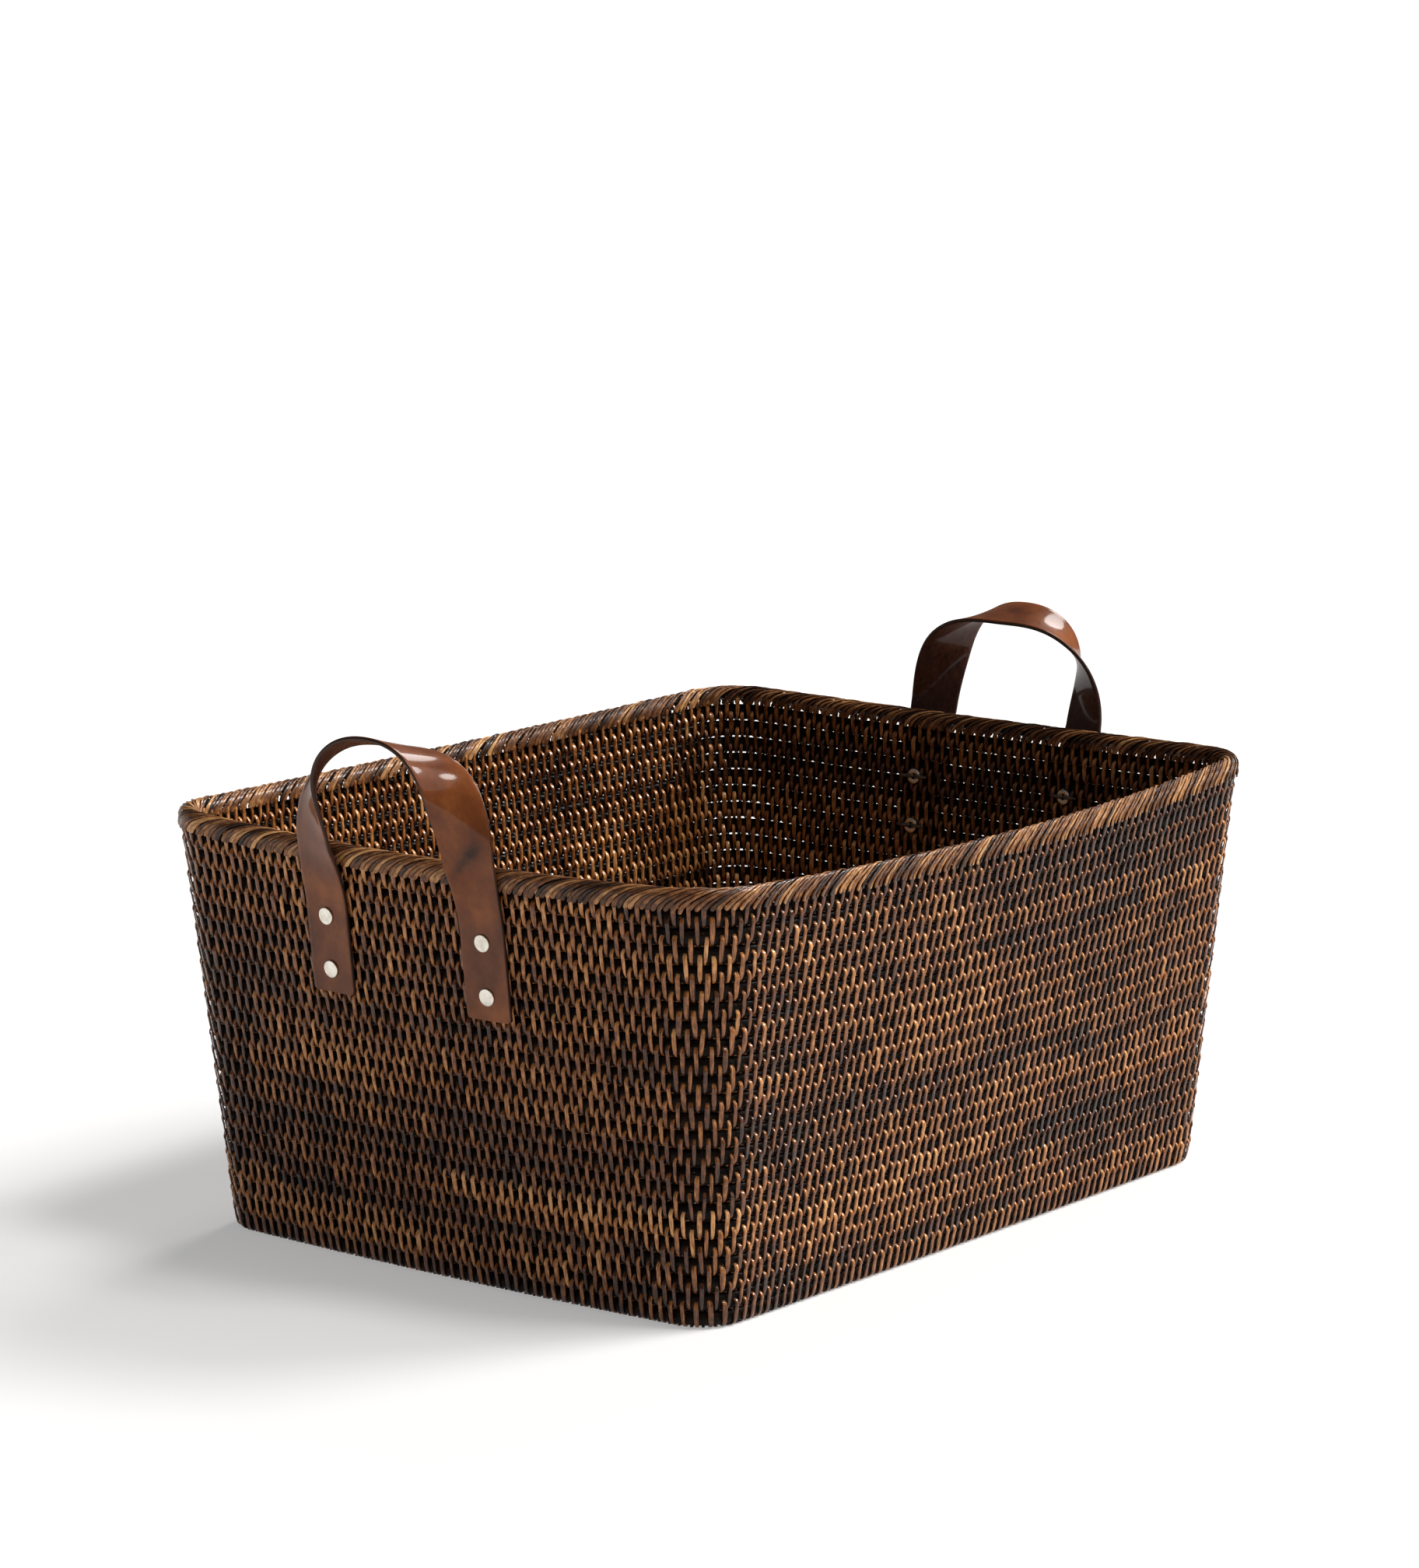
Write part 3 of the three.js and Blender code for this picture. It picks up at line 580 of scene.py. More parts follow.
def build_weave():
    """Every bar of the wall, outside and inside, in two pieces for each side."""
    tones = row_tones()
    corners = side_corners()
    for i, side in enumerate(SIDES):
        shares = [lerp(corners[i], corners[i + 1], half / 2) for half in range(3)]
        cuts = [int(round(share * BARS_PER_ROW)) for share in shares]
        for layer, layer_name in enumerate(("outer", "inner")):
            for half in range(2):
                shape = bar_rows(layer, cuts[half], cuts[half + 1], tones)
                name = f"weave_{layer_name}_{side}_{'ab'[half]}"
                obj = strip_object(name, *shape, weave_look, FLAT_REED)
                finish_piece(obj, "woven_strip", f"weave_{layer_name}_{side}")


ROD_HALF_DEEP = 3.5 * MM
ROD_HALF_HIGH = 6.15 * MM
FIRST_ROD_UNDER = 4.0 * MM  # the first rod's half height on its underside
ROD_AROUND = 20
ROD_ANGLES = np.arange(ROD_AROUND) / ROD_AROUND * 2 * math.pi
ROD_STEP = 7 * MM
GROOVE_DEPTH = 0.055  # as a share of the rod's size, between one splint and the next
SPLINT_ROUGHNESS = 0.035
ROD_TONE = (0.45, 0.16)  # middle and spread, from splint to splint
ROD_TONE_WAVE = 0.05
ROD_GRAIN = 5  # how much of the noise's grain goes once round a rod
ROD_SHIFT = 0.7  # how far each rod's grain is moved from the next one's in the noise


def rod_points(row, ring, rings):
    """The points of one rod: a bundle of splints, with grooves along it and a slow twist."""
    run = np.arange(rings) / rings
    turns = RNG.integers(-2, 3)
    rough = RNG.uniform(0, SPLINT_ROUGHNESS, (rings, ROD_AROUND))
    groove = 1 - GROOVE_DEPTH * (np.arange(ROD_AROUND) % 2) - rough
    angles = ROD_ANGLES + run[:, None] * 2 * math.pi * turns
    under = FIRST_ROD_UNDER if row == 0 else ROD_HALF_HIGH
    high = np.where(np.sin(angles) < 0, under, ROD_HALF_HIGH)
    out = ROD_HALF_DEEP * np.cos(angles) * groove
    up = high * np.sin(angles) * groove
    q = ring.q_at(run * ring.length)
    points, _ = wall_point(q[:, None], np.full((rings, 1), row * ROW_SHARE), out, up)
    return points


def build_rods():
    """The level rods of the wall."""
    for row, ring in enumerate(ROW_RINGS):
        rings = int(ring.length / ROD_STEP)
        points = rod_points(row, ring, rings)
        tone = RNG.normal(*ROD_TONE, (1, ROD_AROUND)) + RNG.normal(0, ROD_TONE_WAVE, (rings, 1))
        around = np.tile(np.linspace(0, ROD_GRAIN, ROD_AROUND), rings)
        along = np.repeat(np.arange(rings) / rings * ring.length, ROD_AROUND)
        place = np.stack([around, along, np.full_like(along, row * ROD_SHIFT)], axis=1)
        facts = [("tone", np.clip(tone, 0, 1).ravel()), ("place", place)]
        faces = tube_faces(1, rings, ROD_AROUND, closed=True)
        obj = make_object(f"rod_{row + 1:02d}", points, faces, facts)
        obj.data.materials.append(rod_look)
        finish_piece(obj, "wall_rod", f"wall_rod_{row + 1:02d}")


# ---- The rim ----

WRAP_COUNT = BARS_PER_ROW
WRAP_RADIUS = 5.95 * MM  # from the rim's centre line to the middle of a binding strip
WRAP_OUTER_DROP = 7.4 * MM  # how far the binding comes down outside, and inside
WRAP_INNER_DROP = 6.2 * MM
WRAP_ADVANCE = 50 * MM  # how far each turn of the binding travels round the rim from end to end
WRAP_CURL = 0.62  # how much steeper a turn is at its ends than over the top
WRAP_STRANDS = 2  # side by side in each turn of the binding
WRAP_FILL = 0.9  # the share of the rim's surface that the strands cover
WRAP_HALF_THICK = 0.62 * MM
WRAP_LIFT = 0.15 * MM
WRAP_STEP = 0.32 * MM  # one strand of a turn lies this far above the middle, the other below it
WRAP_TILT = 0.28  # radians; one edge of each strand lies over its neighbour
# Spreads of normal values, for a whole turn and then for one strand of it.
WRAP_STRAY = (0.35 * MM, 0.1 * MM)  # round the rim
WRAP_TRAVEL = (0.03, 0.006)
WRAP_HEIGHT = (0.14 * MM, 0.08 * MM)
WRAP_TONE = (0.17, 0.14)
WRAP_TONE_MIDDLE = 0.46
DARKEST_STRAND = 0.05
WRAP_WAVE = 0.05 * MM  # in height, along a strand
WRAP_REACH = 0.5 * MM  # at the outer ends
WRAP_TONE_WAVE = 0.03
WRAP_WIDE_SPREAD, WRAP_WIDE_LIMITS = 0.07, (0.8, 1.15)
# Places along a turn of binding, as shares of it: close together in its ends, even between them.
WRAP_ENDS = np.array([0, 0.012, 0.03, 0.055])
WRAP_END_WIDTHS = [0.45, 0.75, 0.93, 1]
WRAP_MIDDLE = 0.09
WRAP_SHARE = np.concatenate([WRAP_ENDS, np.linspace(WRAP_MIDDLE, 1 - WRAP_MIDDLE, 18), 1 - WRAP_ENDS[::-1]])


def rim_path():
    """The rim's binding in section, from its outer lower edge over the top to its inner edge."""
    arc = math.pi * WRAP_RADIUS
    total = WRAP_OUTER_DROP + arc + WRAP_INNER_DROP
    run = WRAP_SHARE * total
    angle = np.clip((run - WRAP_OUTER_DROP) / WRAP_RADIUS, 0, math.pi)
    out = WRAP_RADIUS * np.cos(angle)
    up = WRAP_RADIUS * np.sin(angle)
    up += np.minimum(run - WRAP_OUTER_DROP, 0)
    up -= np.maximum(run - WRAP_OUTER_DROP - arc, 0)
    return total, angle, out, up


def each_strand(values):
    """One value for each turn of the binding, repeated for its strands."""
    return np.repeat(values, WRAP_STRANDS)


def strand_spread(middle, shared_spread, own_spread):
    """Random values for the strands: a part that each turn shares, and a part of each one's own."""
    shared = each_strand(RNG.normal(middle, shared_spread, WRAP_COUNT))
    return shared + RNG.normal(0, own_spread, len(shared))


def strand_ways():
    """Where each strand runs round the rim, as q at each place along it."""
    count = WRAP_COUNT * WRAP_STRANDS
    start = np.arange(count) / count * RIM_RING.length
    start = start + strand_spread(0, *WRAP_STRAY)
    travel = strand_spread(1, *WRAP_TRAVEL)
    curl = WRAP_SHARE - WRAP_CURL * np.sin(2 * math.pi * WRAP_SHARE) / (2 * math.pi)
    return RIM_RING.q_at(start[:, None] + curl[None] * WRAP_ADVANCE * travel[:, None])


def strand_centres(q, angle, out, up):
    """Every strand's middle line, uneven in height and at its ends, and the way round the rim."""
    turn_lift = each_strand(RNG.normal(0, WRAP_HEIGHT[0], WRAP_COUNT))
    step = np.tile(np.linspace(-WRAP_STEP, WRAP_STEP, WRAP_STRANDS), WRAP_COUNT)
    wave = RNG.normal(0, WRAP_WAVE, q.shape)
    radial = (turn_lift + step + RNG.normal(0, WRAP_HEIGHT[1], len(q)))[:, None] + wave + WRAP_LIFT
    grown_out = out[None] + radial * np.cos(angle)
    grown_up = up[None] + radial * np.sin(angle)
    uneven = each_strand(RNG.normal(0, WRAP_REACH, WRAP_COUNT))[:, None]
    grown_up[:, :len(WRAP_ENDS)] += uneven * (1 - WRAP_ENDS / WRAP_MIDDLE)
    return wall_point(q, np.ones_like(q), grown_out, grown_up)


def strand_across(centres, along, angle):
    """The direction across each strand, tilted so that one edge lies over its neighbour."""
    normal = outward(along) * np.cos(angle)[None, :, None]
    normal[..., 2] += np.sin(angle)[None]
    tangent = unit(np.gradient(centres, axis=1))
    return unit(np.cross(normal, tangent) + normal * WRAP_TILT)


def strand_widths(total, count):
    """Half widths that fill the rim, less where a strand is slanted, and less in its ends."""
    slope = 1 - WRAP_CURL * np.cos(2 * math.pi * WRAP_SHARE)
    slant = np.cos(np.arctan(WRAP_ADVANCE * slope / total))
    pitch = RIM_RING.length / count
    own = np.clip(RNG.normal(1, WRAP_WIDE_SPREAD, (count, 1)), *WRAP_WIDE_LIMITS)
    wide = pitch / 2 * WRAP_FILL * slant * own
    return wide * np.interp(np.minimum(WRAP_SHARE, 1 - WRAP_SHARE), WRAP_ENDS, WRAP_END_WIDTHS)


def build_rim():
    """Turns of binding over the rim, each a pair of strands that lies a little over the next."""
    total, angle, out, up = rim_path()
    q = strand_ways()
    count = len(q)
    centres, along = strand_centres(q, angle, out, up)
    across = strand_across(centres, along, angle)
    own = strand_spread(WRAP_TONE_MIDDLE, *WRAP_TONE)
    tone = np.clip(own[:, None] + RNG.normal(0, WRAP_TONE_WAVE, q.shape), DARKEST_STRAND, 1)
    wide = strand_widths(total, count)
    obj = strip_object("rim_binding", centres, across, wide, WRAP_HALF_THICK, tone, rim_look, FLAT_REED)
    finish_piece(obj, "rim_binding", "rim_wrap")
    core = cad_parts["rim_core"].data.materials
    core.clear()
    core.append(rod_look)


# ---- The base ----

BASE_INSET = 1.5 * MM  # the floor's rods and strips end inside the wall's first rod
BASE_STRIP_PITCH = 5.0 * MM
BASE_STRIP_HALF_WIDE = 2.48 * MM
BASE_STRIP_HALF_THICK = 0.7 * MM
BASE_STRIP_RISE = 3.95 * MM  # over a rod and under the next
BASE_STRIP_STRAY = 0.2 * MM
BASE_STRIP_TONE = (0.4, 0.12)  # middle and spread
BASE_STRIP_CURVE = 0.8  # below 1, a strip is flatter over a rod and steeper between rods
BASE_ROD_PITCH = 12.7 * MM
BASE_ROD_RADIUS = 3.1 * MM
BASE_ROD_RINGS = 40
BASE_ROD_TONE = (0.5, 0.15)
BASE_STEPS_PER_ROW = 4
BASE_LONG = BASE_HALF[0] - BASE_INSET
BASE_WIDE = BASE_HALF[1] - BASE_INSET
BASE_ROUND = BASE_CORNER - BASE_INSET
BASE_END_FILL = 0.8  # the share of the bowed ends that strips still cross


def rounded_half(place, half_along, half_across):
    """Half the floor's size across, at a place along it, inside its rounded corners."""
    into = np.clip(np.abs(place) - (half_along - BASE_ROUND), 0, BASE_ROUND)
    return half_across - BASE_ROUND + np.sqrt(BASE_ROUND**2 - into**2)


def base_half_length(across):
    """Half the floor's length in X at a place in Y, to its bowed end."""
    return rounded_half(across, BASE_WIDE, BASE_LONG) + BASE_BOW[1] * (1 - (across / BASE_HALF[1]) ** 2)


def base_half_width(along):
    """Half its width in Y at a place in X, to its bowed side; less inside the bow of the ends."""
    bow = BASE_BOW[0] * np.clip(1 - (along / BASE_HALF[0]) ** 2, 0, 1)
    past = np.clip((np.abs(along) - BASE_LONG) / BASE_BOW[1], 0, 1)
    return (rounded_half(along, BASE_LONG, BASE_WIDE) + bow) * np.sqrt(1 - past)


def build_base_rods():
    """The floor's rods, along X."""
    last = int(BASE_WIDE / BASE_ROD_PITCH)
    rod_y = np.arange(-last, last + 1) * BASE_ROD_PITCH
    x = base_half_length(rod_y)[:, None] * np.linspace(-1, 1, BASE_ROD_RINGS)[None]
    y = np.broadcast_to(rod_y[:, None], x.shape)
    centres = np.stack([x, y, np.full_like(x, FIRST_Z)], axis=-1)
    sideways = np.broadcast_to([0.0, 1, 0], centres.shape)
    tone = np.clip(RNG.normal(*BASE_ROD_TONE, x.shape), 0, 1)
    rods = strip_object("base_rods", centres, sideways, BASE_ROD_RADIUS, BASE_ROD_RADIUS, tone, rod_look)
    finish_piece(rods, "wall_rod")


def build_base_strips():
    """The floor's strips, along Y, over and under the rods in turn."""
    last = int((BASE_LONG + BASE_BOW[1] * BASE_END_FILL) / BASE_STRIP_PITCH)
    strip_x = np.arange(-last, last + 1) * BASE_STRIP_PITCH
    count = len(strip_x)
    steps = 2 * int(BASE_WIDE / BASE_ROD_PITCH * BASE_STEPS_PER_ROW) + 1
    y = base_half_width(strip_x)[:, None] * np.linspace(-1, 1, steps)[None]
    parity = np.arange(count)[:, None] % 2
    wave = np.cos(math.pi * (y / BASE_ROD_PITCH + parity))
    z = FIRST_Z + np.sign(wave) * np.abs(wave) ** BASE_STRIP_CURVE * BASE_STRIP_RISE
    x = np.broadcast_to(strip_x[:, None], y.shape) + RNG.normal(0, BASE_STRIP_STRAY, (count, 1))
    centres = np.stack([x, y, z], axis=-1)
    sideways = np.broadcast_to([1.0, 0, 0], centres.shape)
    tone = np.clip(RNG.normal(*BASE_STRIP_TONE, (count, 1)) + np.zeros_like(y), DARKEST_STRAND, 1)
    size = (BASE_STRIP_HALF_WIDE, BASE_STRIP_HALF_THICK)
    strips = strip_object("base_strips", centres, sideways, *size, tone, weave_look)
    finish_piece(strips, "woven_strip", "base_weave")


# ---- The strap handles ----

STRAP_HALF_WIDE = 19 * MM
STRAP_HALF_THICK = 1.5 * MM
STRAP_BEVEL = 0.9 * MM
STRAP_CROWN = 0.25 * MM
STRAP_ACROSS = 17  # points across each face
STRAP_STEP = 2.2 * MM
STRAP_OFFSET = 7.0 * MM  # from the wall's middle surface to the strap's
FOOT_SPREAD = 70 * MM
FOOT_CORNER = 3 * MM
FOOT_TIP = np.array([0, 0.08, 0.25, 0.55, 1.0]) * FOOT_CORNER  # the steps round a foot's corners
FOOT_RINGS = 6  # these first and last steps stay straight
LEG_STEP = 2.5 * MM
LIFT_Z = 258 * MM  # from here up to the loop's base, a leg lifts clear of the rim and starts to twist
LIFT_POWER = 1.4
RIM_CLEARANCE = 7 * MM
LOOP_BASE_Z = 300 * MM
LOOP_HEIGHT = 79 * MM
LOOP_POWER = 2.5  # 2 would make the arch an ellipse; more makes it squarer
LOOP_LEAN = 6.5 * MM
LEAN_RISE = 1.3  # the lean is complete at 1 / LEAN_RISE of the arch's height
LOOP_STEPS = 120
TWIST_AT_RIM = math.radians(12)
TWIST_POWERS = (2.2, 1.7)  # how late the twist comes up a leg, and over the arch
TOP_TILT = 0.28  # radians; how far the strap's top faces up
RIGHT_SIDE_Q = 1.0  # q where the right end wall starts, after its first corner
SIDE_OUTER, SIDE_EDGE, SIDE_INNER = 1.0, 0.5, 0.0  # which face of a strap a point is on
SCUFF_SIDE = 0.6  # scuffs show on points whose side is above this
# Scuffs on the left strap: place along and across, length, breadth, and slant across the strap.
LEFT_SCUFFS = [(0.115, 0.002, 0.011, 0.0046, -0.9), (0.119, -0.003, 0.006, 0.006, -0.9)]


def end_wall_at(y, z):
    """The right end wall's middle surface at a place, and its level outward direction."""
    t = (z - FIRST_Z) / (RIM_Z - FIRST_Z)
    for _ in range(3):
        run = lerp(BASE_HALF[1], RIM_HALF[1], t) - lerp(BASE_CORNER, RIM_CORNER, t)
        q = RIGHT_SIDE_Q + (y + run) / (2 * run)
        point = wall_middle(q, t)
        t = t * (z - FIRST_Z) / (point[2] - FIRST_Z)
    return point, outward(wall_along(q, t))


def strap_leg(y, bottom):
    """Centres, outward directions and twists up one leg."""
    leg = []
    for z in np.arange(bottom, LOOP_BASE_Z + 1e-6, LEG_STEP):
        s = max(0.0, (z - LIFT_Z) / (LOOP_BASE_Z - LIFT_Z))
        point, out = end_wall_at(y, z)
        point = point + out * (STRAP_OFFSET + RIM_CLEARANCE * s**LIFT_POWER)
        leg.append((np.array([point[0], y, z]), out, TWIST_AT_RIM * s ** TWIST_POWERS[0]))
    return [np.array(values) for values in zip(*leg)]


def arch_points(start, end, middle):
    """The arch of the loop, from the top of one leg to the top of the other."""
    angle = np.arange(1, LOOP_STEPS) / LOOP_STEPS * math.pi
    across = np.sign(np.cos(angle)) * np.abs(np.cos(angle)) ** (2 / LOOP_POWER)
    high = np.sin(angle) ** (2 / LOOP_POWER)
    lean = LOOP_LEAN * (1 - (1 - np.minimum(1, high * LEAN_RISE)) ** 2)
    x = lerp(end[0], start[0], (across + 1) / 2) + lean
    y = middle + FOOT_SPREAD * across
    return np.stack([x, y, start[2] + LOOP_HEIGHT * high], axis=1)


def strap_path(middle, bottom):
    """Centres, outward directions and twists: up one leg, over the arch and down the other."""
    rise = strap_leg(middle + FOOT_SPREAD, bottom)
    fall = [values[::-1] for values in strap_leg(middle - FOOT_SPREAD, bottom)]
    start, end = rise[0][-1], fall[0][0]
    arch = arch_points(start, end, middle)
    run = path_run(np.concatenate([[start], arch, [end]]))
    share = 1 - np.abs(run[1:-1] / run[-1] * 2 - 1)  # from 0 at the arch's ends to 1 at its top
    twist = lerp(TWIST_AT_RIM, math.pi / 2, np.sin(math.pi / 2 * share) ** TWIST_POWERS[1])
    tilt = np.array([math.cos(TOP_TILT), 0, math.sin(TOP_TILT)])
    rising = np.arange(1, LOOP_STEPS)[:, None] < LOOP_STEPS / 2
    foot = np.where(rising, rise[1][0], fall[1][0])
    out = unit(lerp(foot, tilt, np.minimum(1, share * 2)[:, None]))
    return [np.concatenate(parts) for parts in zip(rise, (arch, out, twist), fall)]


def even_steps(centres, outs, twists):
    """The path again at even steps, with closer ones in the rounded corners of both feet."""
    run = path_run(centres)
    inner = np.arange(FOOT_CORNER + STRAP_STEP, run[-1] - FOOT_CORNER - STRAP_STEP / 2, STRAP_STEP)
    s = np.concatenate([FOOT_TIP, inner, run[-1] - FOOT_TIP[::-1]])

    def at_steps(values):
        return np.stack([np.interp(s, run, v) for v in values.T], axis=1)

    return s, at_steps(centres), at_steps(outs), np.interp(s, run, twists)


def smoothed(values, passes):
    """Values averaged with their neighbours, with both ends kept."""
    for _ in range(passes):
        values = values.copy()
        values[1:-1] = (values[:-2] + 2 * values[1:-1] + values[2:]) / 4
    return values


def strap_section():
    """The strap's section: across, thickness, and which side each point is on."""
    flat = np.linspace(-1, 1, STRAP_ACROSS) * (STRAP_HALF_WIDE - STRAP_BEVEL)
    crown = STRAP_CROWN * (1 - (flat / STRAP_HALF_WIDE) ** 2)
    edge_angles = np.radians([60, 25, -25, -60])
    edge_wide = STRAP_HALF_WIDE - STRAP_BEVEL + STRAP_BEVEL * np.cos(edge_angles)
    edge_high = STRAP_HALF_THICK * np.sin(edge_angles) * 0.98
    inner_high = STRAP_HALF_THICK + crown
    outer_high = -STRAP_HALF_THICK + crown[::-1]
    wide = np.concatenate([flat, edge_wide, flat[::-1], -edge_wide[::-1]])
    high = np.concatenate([inner_high, edge_high, outer_high, edge_high[::-1]])
    edge_side = np.full(len(edge_angles), SIDE_EDGE)
    inner_side = np.full(STRAP_ACROSS, SIDE_INNER)
    outer_side = np.full(STRAP_ACROSS, SIDE_OUTER)
    side = np.concatenate([inner_side, edge_side, outer_side, edge_side])
    return wide, high, side


def strap_directions(middle, bottom):
    """Steps along the strap, its centres there, and the directions across it and off its face."""
    s, centres, outs, twists = even_steps(*strap_path(middle, bottom))
    curve = smoothed(centres[FOOT_RINGS - 1:1 - FOOT_RINGS], 3)[1:-1]
    centres = np.concatenate([centres[:FOOT_RINGS], curve, centres[-FOOT_RINGS:]])
    tangent = unit(np.gradient(centres, axis=0))
    side = unit(np.cross(tangent, outs))
    out = unit(np.cross(side, tangent))
    across = unit(-side * np.cos(twists)[:, None] + out * np.sin(twists)[:, None])
    return s, centres, across, unit(np.cross(across, tangent))


def corner_share(s):
    """The strap's width at each step as a share of the full one, less in its feet's corners."""
    into = np.clip(FOOT_CORNER - np.minimum(s, s[-1] - s), 0, FOOT_CORNER)
    return 1 - (FOOT_CORNER - np.sqrt(FOOT_CORNER**2 - into**2)) / STRAP_HALF_WIDE


def scuff_marks(scuffs, s, wide):
    """How scuffed each point of the strap is, from 0 to 1."""
    amount = np.zeros((len(s), len(wide)))
    for along, across, long, broad, slant in scuffs:
        ds = s[:, None] - along
        dw = wide[None] - across - slant * ds
        amount = np.maximum(amount, np.exp(-((ds / long) ** 2) - (dw / broad) ** 2))
    return amount


def build_strap(end, middle, bottom, scuffs):
    """One strap from foot to foot."""
    s, centres, across, face = strap_directions(middle, bottom)
    wide, high, side = strap_section()
    widths = wide * corner_share(s)[:, None]
    points = centres[:, None] + across[:, None] * widths[..., None] + face[:, None] * high[None, :, None]
    rings, around = points.shape[:2]
    place = np.zeros((rings, around, 3))
    place[..., 0] = wide
    place[..., 1] = s[:, None]
    place[..., 2] = high + middle
    scuff = scuff_marks(scuffs, s, wide) * (side > SCUFF_SIDE)
    facts = [("side", np.tile(side, rings)), ("place", place.reshape(-1, 3)), ("scuff", scuff.ravel())]
    if end == "left":
        points = points * np.array([-1, -1, 1])
    obj = make_object(f"strap_{end}", points, tube_faces(1, rings, around), facts)
    obj.data.materials.append(leather_look)
    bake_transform(obj)
    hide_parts(*(f"handle_{end}_{part}" for part in ("foot_a", "foot_b", "loop")))


# ---- Rivets and washers ----

HEAD_RADIUS = 6.2 * MM
HEAD_SEAT = 8.6 * MM  # from the wall's middle surface to the back of a rivet's head
HEAD_RISE = 1.25 * MM  # from there to the rim of its dome
HEAD_DOME = 0.35 * MM
HEAD_EDGE_SHARE = 0.06  # the rounded edge's radius as a share of the head's
HEAD_EDGE_MIDDLE = 0.75 * MM
HEAD_EDGE_HALF = 0.6 * MM
HEAD_SEGMENTS = 48
WASHER_RADIUS = 5.6 * MM
WASHER_HOLE = 2.4 * MM
WASHER_THICK = 1.0 * MM
WASHER_BEVEL = 0.18 * MM
WASHER_SEAT = 5.5 * MM
WASHER_SEGMENTS = 40
PRONG_HALF_WIDE = 1.5 * MM
PRONG_HALF_THICK = 0.5 * MM
# Along a leg of a split rivet: out from its middle, inwards from the wall's middle surface, and
# its share of the full width.
PRONG_OUT = np.array([0.0, 0.6, 1.6, 4.5, 8.5, 11.0, 12.5]) * MM
PRONG_DEPTH = np.array([4.0, 6.2, 7.2, 7.6, 7.3, 7.0, 6.9]) * MM
PRONG_TAPER = np.array([1, 1, 1, 1, 0.95, 0.7, 0.25])
WALL_STEP = 5 * MM  # up and down the wall, for finding its slope


def lathe(profile, segments, closed):
    """Points and faces of a profile of (radius, height) turned about its local X axis."""
    angles = np.arange(segments) / segments * 2 * math.pi
    profile = np.array(profile)
    points = np.stack([
        np.broadcast_to(profile[:, 1], (segments, len(profile))),
        np.cos(angles)[:, None] * profile[:, 0],
        np.sin(angles)[:, None] * profile[:, 0]], axis=-1)
    n = len(profile)
    ring = np.arange(segments)[:, None] * n
    after = ((np.arange(segments) + 1) % segments)[:, None] * n
    k = np.arange(n if closed else n - 1)[None]
    above = (k + 1) % n
    faces = [np.stack([ring + k, after + k, after + above, ring + above], axis=-1).reshape(-1, 4)]
    if not closed:
        faces.append((np.arange(segments) * n)[None])
        faces.append((np.arange(segments)[::-1] * n + n - 1)[None])
    return points.reshape(-1, 3), faces


def joined(parts):
    """Several (points, faces) pairs as one."""
    points, faces, start = [], [], 0
    for p, fs in parts:
        points.append(p)
        faces.extend(f + start for f in fs)
        start += len(p)
    return np.concatenate(points), faces


def prong(direction):
    """One leg of a split rivet: out of the washer's hole, then bent flat against it."""
    steps = len(PRONG_OUT)
    centres = np.stack([-PRONG_DEPTH, direction * PRONG_OUT, np.zeros(steps)], axis=1)[None]
    across = np.broadcast_to([0.0, 0, 1], centres.shape)
    points = sweep(centres, across, PRONG_HALF_WIDE * PRONG_TAPER[None], PRONG_HALF_THICK)
    return points.reshape(-1, 3), tube_faces(1, steps, len(REED))


def rivet_frame(washer):
    """The wall's middle surface at a washer, with X out of the wall and Z up it."""
    low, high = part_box(washer)
    centre = np.array((low + high) / 2)
    flip = -1 if centre[0] < 0 else 1
    _, out = end_wall_at(centre[1] * flip, centre[2])
    above, _ = end_wall_at(centre[1] * flip, centre[2] + WALL_STEP)
    below, _ = end_wall_at(centre[1] * flip, centre[2] - WALL_STEP)
    up = unit(above - below)
    side = unit(np.cross([0, 0, 1], out))
    normal = unit(np.cross(side, up))
    turn = np.array([flip, flip, 1])
    normal, side, up = normal * turn, side * turn, up * turn
    origin = centre + normal * (WASHER_SEAT + WASHER_THICK / 2)
    rows = np.column_stack([normal, side, up, origin]).tolist()
    return Matrix([*rows, [0, 0, 0, 1]])


def placed(name, parts, matrix, material):
    """Parts made at the origin, as one object in a rivet's place."""
    points, faces = joined(parts)
    obj = make_object(name, points, faces)
    obj.data.transform(matrix)
    obj.data.materials.append(material)
    return obj


def head_profile():
    """A rivet's domed head in section, from its middle out to the back of its edge."""
    profile = []
    for r in np.linspace(0.02, 0.86, 7) * HEAD_RADIUS:
        profile.append((r, HEAD_SEAT + HEAD_RISE + HEAD_DOME * (1 - (r / HEAD_RADIUS) ** 2)))
    for angle in np.radians([70, 40, 0, -40, -80]):
        r = HEAD_RADIUS * (1 - HEAD_EDGE_SHARE + HEAD_EDGE_SHARE * math.cos(angle))
        profile.append((r, HEAD_SEAT + HEAD_EDGE_MIDDLE + HEAD_EDGE_HALF * math.sin(angle)))
    return profile


def washer_profile():
    """A washer in section, with a small bevel on each edge."""
    low, high = -WASHER_SEAT - WASHER_THICK, -WASHER_SEAT
    inner, outer, bevel = WASHER_HOLE, WASHER_RADIUS, WASHER_BEVEL
    return [
        (inner, low + bevel),
        (inner, high - bevel),
        (inner + bevel, high),
        (outer - bevel, high),
        (outer, high - bevel),
        (outer, low + bevel),
        (outer - bevel, low),
        (inner + bevel, low),
    ]


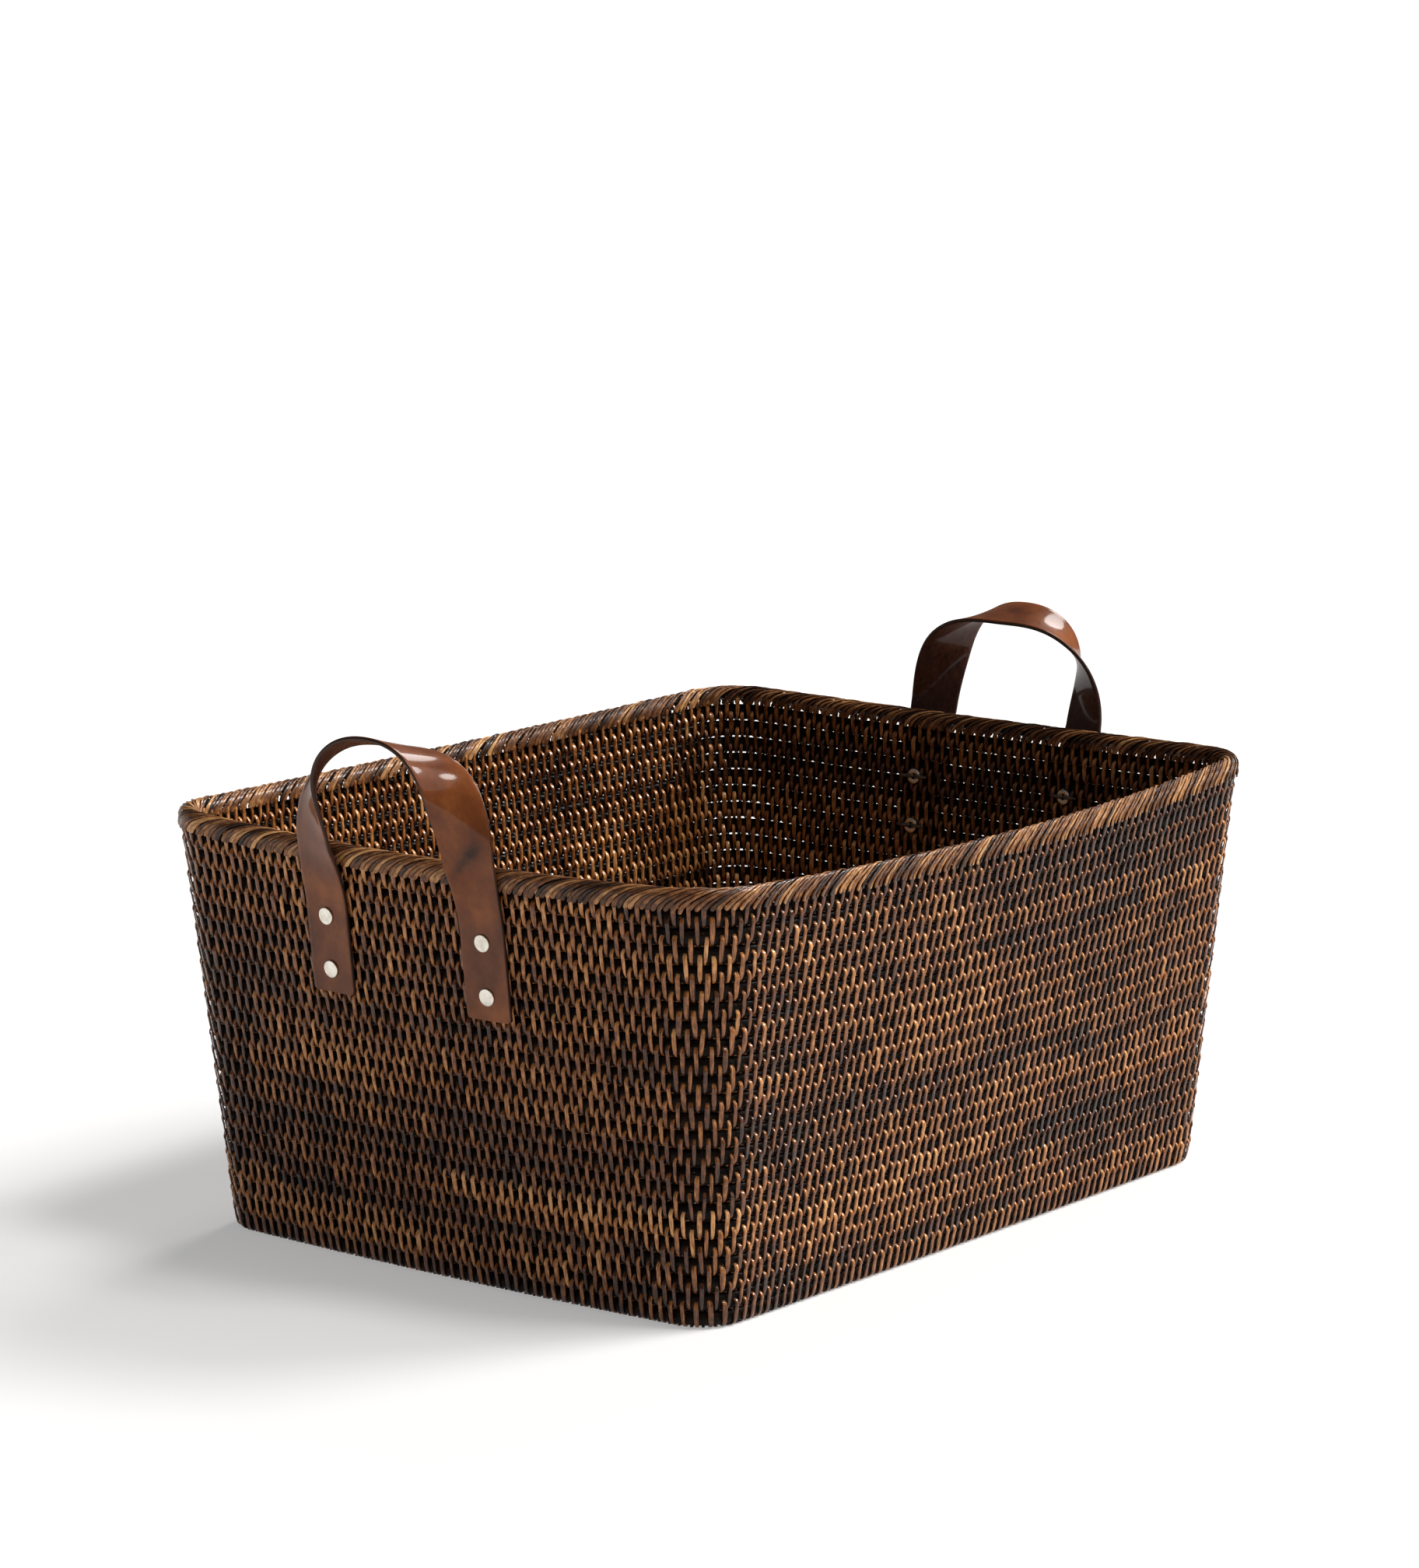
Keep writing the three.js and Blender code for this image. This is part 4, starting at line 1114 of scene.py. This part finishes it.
def build_rivet(end, label):
    """One rivet's head and spread legs, and the washer under them."""
    spot = rivet_frame(f"washer_{end}_{label}")
    cap = lathe(head_profile(), HEAD_SEGMENTS, closed=False)
    head = placed(f"rivet_head_{end}_{label}", [cap], spot, nickel_look)
    finish_piece(head, "rivet_metal", f"rivet_{end}_{label}")
    spread = placed(f"rivet_legs_{end}_{label}", [prong(1), prong(-1)], spot, steel_look)
    finish_piece(spread, "rivet_metal")
    ring = lathe(washer_profile(), WASHER_SEGMENTS, closed=True)
    washer = placed(f"washer_ring_{end}_{label}", [ring], spot, nickel_look)
    finish_piece(washer, "rivet_metal", f"washer_{end}_{label}")


def build_handles():
    """Both straps and their rivets; the left handle is the right one turned half round."""
    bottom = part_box("handle_right_foot_a")[0].z
    for end, scuffs in (("left", LEFT_SCUFFS), ("right", [])):
        low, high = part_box(f"handle_{end}_loop")
        middle = (low.y + high.y) / 2 * (-1 if end == "left" else 1)
        build_strap(end, middle, bottom, scuffs)
        for label in ("a_lower", "a_upper", "b_lower", "b_upper"):
            build_rivet(end, label)


# ---- Camera, floor and light ----

WHITE = (1, 1, 1, 1)
FLOOR_SIZE = 160
FLOOR_COLOUR = (0.6, 0.6, 0.6, 1)
FLOOR_GLOW = 0.34
WORLD_STRENGTH = 0.1
SUN_COLOUR = (1.0, 0.98, 0.95)
# Each light's name, strength, spread in degrees and the direction that it shines in.
LIGHTS = [
    ("key", 1.1, 60, (-0.33, 0.66, -0.675)),
    ("top", 1.2, 14, (-0.15, 0.38, -0.91)),
    ("side", 2.3, 22, (-0.66, 0.43, -0.62)),
    ("back", 1.1, 20, (-0.77, -0.16, -0.62)),
]
CAMERA_TARGET = (-0.0014, 0.0021, 0.2991)
CAMERA_AZIMUTH = math.radians(218.83)
CAMERA_ELEVATION = math.radians(10.88)
CAMERA_DISTANCE = 3.9736
CAMERA_ROLL = math.radians(-0.36)
CAMERA_LENS = 128.0
CAMERA_SENSOR = 36.0
CAMERA_SHIFT_X = -0.0038
CAMERA_REACH = 300


def build_stage():
    """A pale floor that glows a little, so that shadows on it stay light."""
    bpy.ops.mesh.primitive_plane_add(size=FLOOR_SIZE)
    floor = bpy.context.object
    floor.name = "floor"
    paper = Nodes("pale_floor", Roughness=0.9, Specular_IOR_Level=0.1, Emission_Strength=FLOOR_GLOW)
    paper.shader.inputs["Base Color"].default_value = FLOOR_COLOUR
    paper.shader.inputs["Emission Color"].default_value = WHITE
    floor.data.materials.append(paper.material)


def aimed(direction):
    """A rotation that points an object's -Z along a direction."""
    return Vector(direction).to_track_quat("-Z", "Y").to_euler()


def build_light():
    """A dim white world and four suns: one broad, and three compact ones for the highlights."""
    world = bpy.context.scene.world or bpy.data.worlds.new("studio")
    bpy.context.scene.world = world
    world.use_nodes = True
    background = world.node_tree.nodes["Background"]
    background.inputs["Color"].default_value = WHITE
    background.inputs["Strength"].default_value = WORLD_STRENGTH
    for name, energy, spread, towards in LIGHTS:
        light = bpy.data.objects.new(name, bpy.data.lights.new(name, "SUN"))
        light.data.energy = energy
        light.data.color = SUN_COLOUR
        light.data.angle = math.radians(spread)
        light.rotation_euler = aimed(towards)
        bpy.context.scene.collection.objects.link(light)
    bpy.context.scene.view_settings.view_transform = "Standard"


def build_camera():
    """The photograph's view: a long lens, low and off the near left corner."""
    data = bpy.data.cameras.new("camera")
    data.lens = CAMERA_LENS
    data.sensor_width = CAMERA_SENSOR
    data.shift_x = CAMERA_SHIFT_X
    data.clip_end = CAMERA_REACH
    camera = bpy.data.objects.new("camera", data)
    target = Vector(CAMERA_TARGET)
    level = math.cos(CAMERA_ELEVATION)
    away = (level * math.cos(CAMERA_AZIMUTH), level * math.sin(CAMERA_AZIMUTH), math.sin(CAMERA_ELEVATION))
    camera.location = target + CAMERA_DISTANCE * Vector(away)
    look = (target - camera.location).to_track_quat("-Z", "Y").to_matrix()
    camera.rotation_euler = (look @ Matrix.Rotation(CAMERA_ROLL, 3, "Z")).to_euler()
    bpy.context.scene.collection.objects.link(camera)
    bpy.context.scene.camera = camera


build_camera()
build_stage()
build_light()
build_weave()
build_rods()
build_rim()
build_base_rods()
build_base_strips()
build_handles()
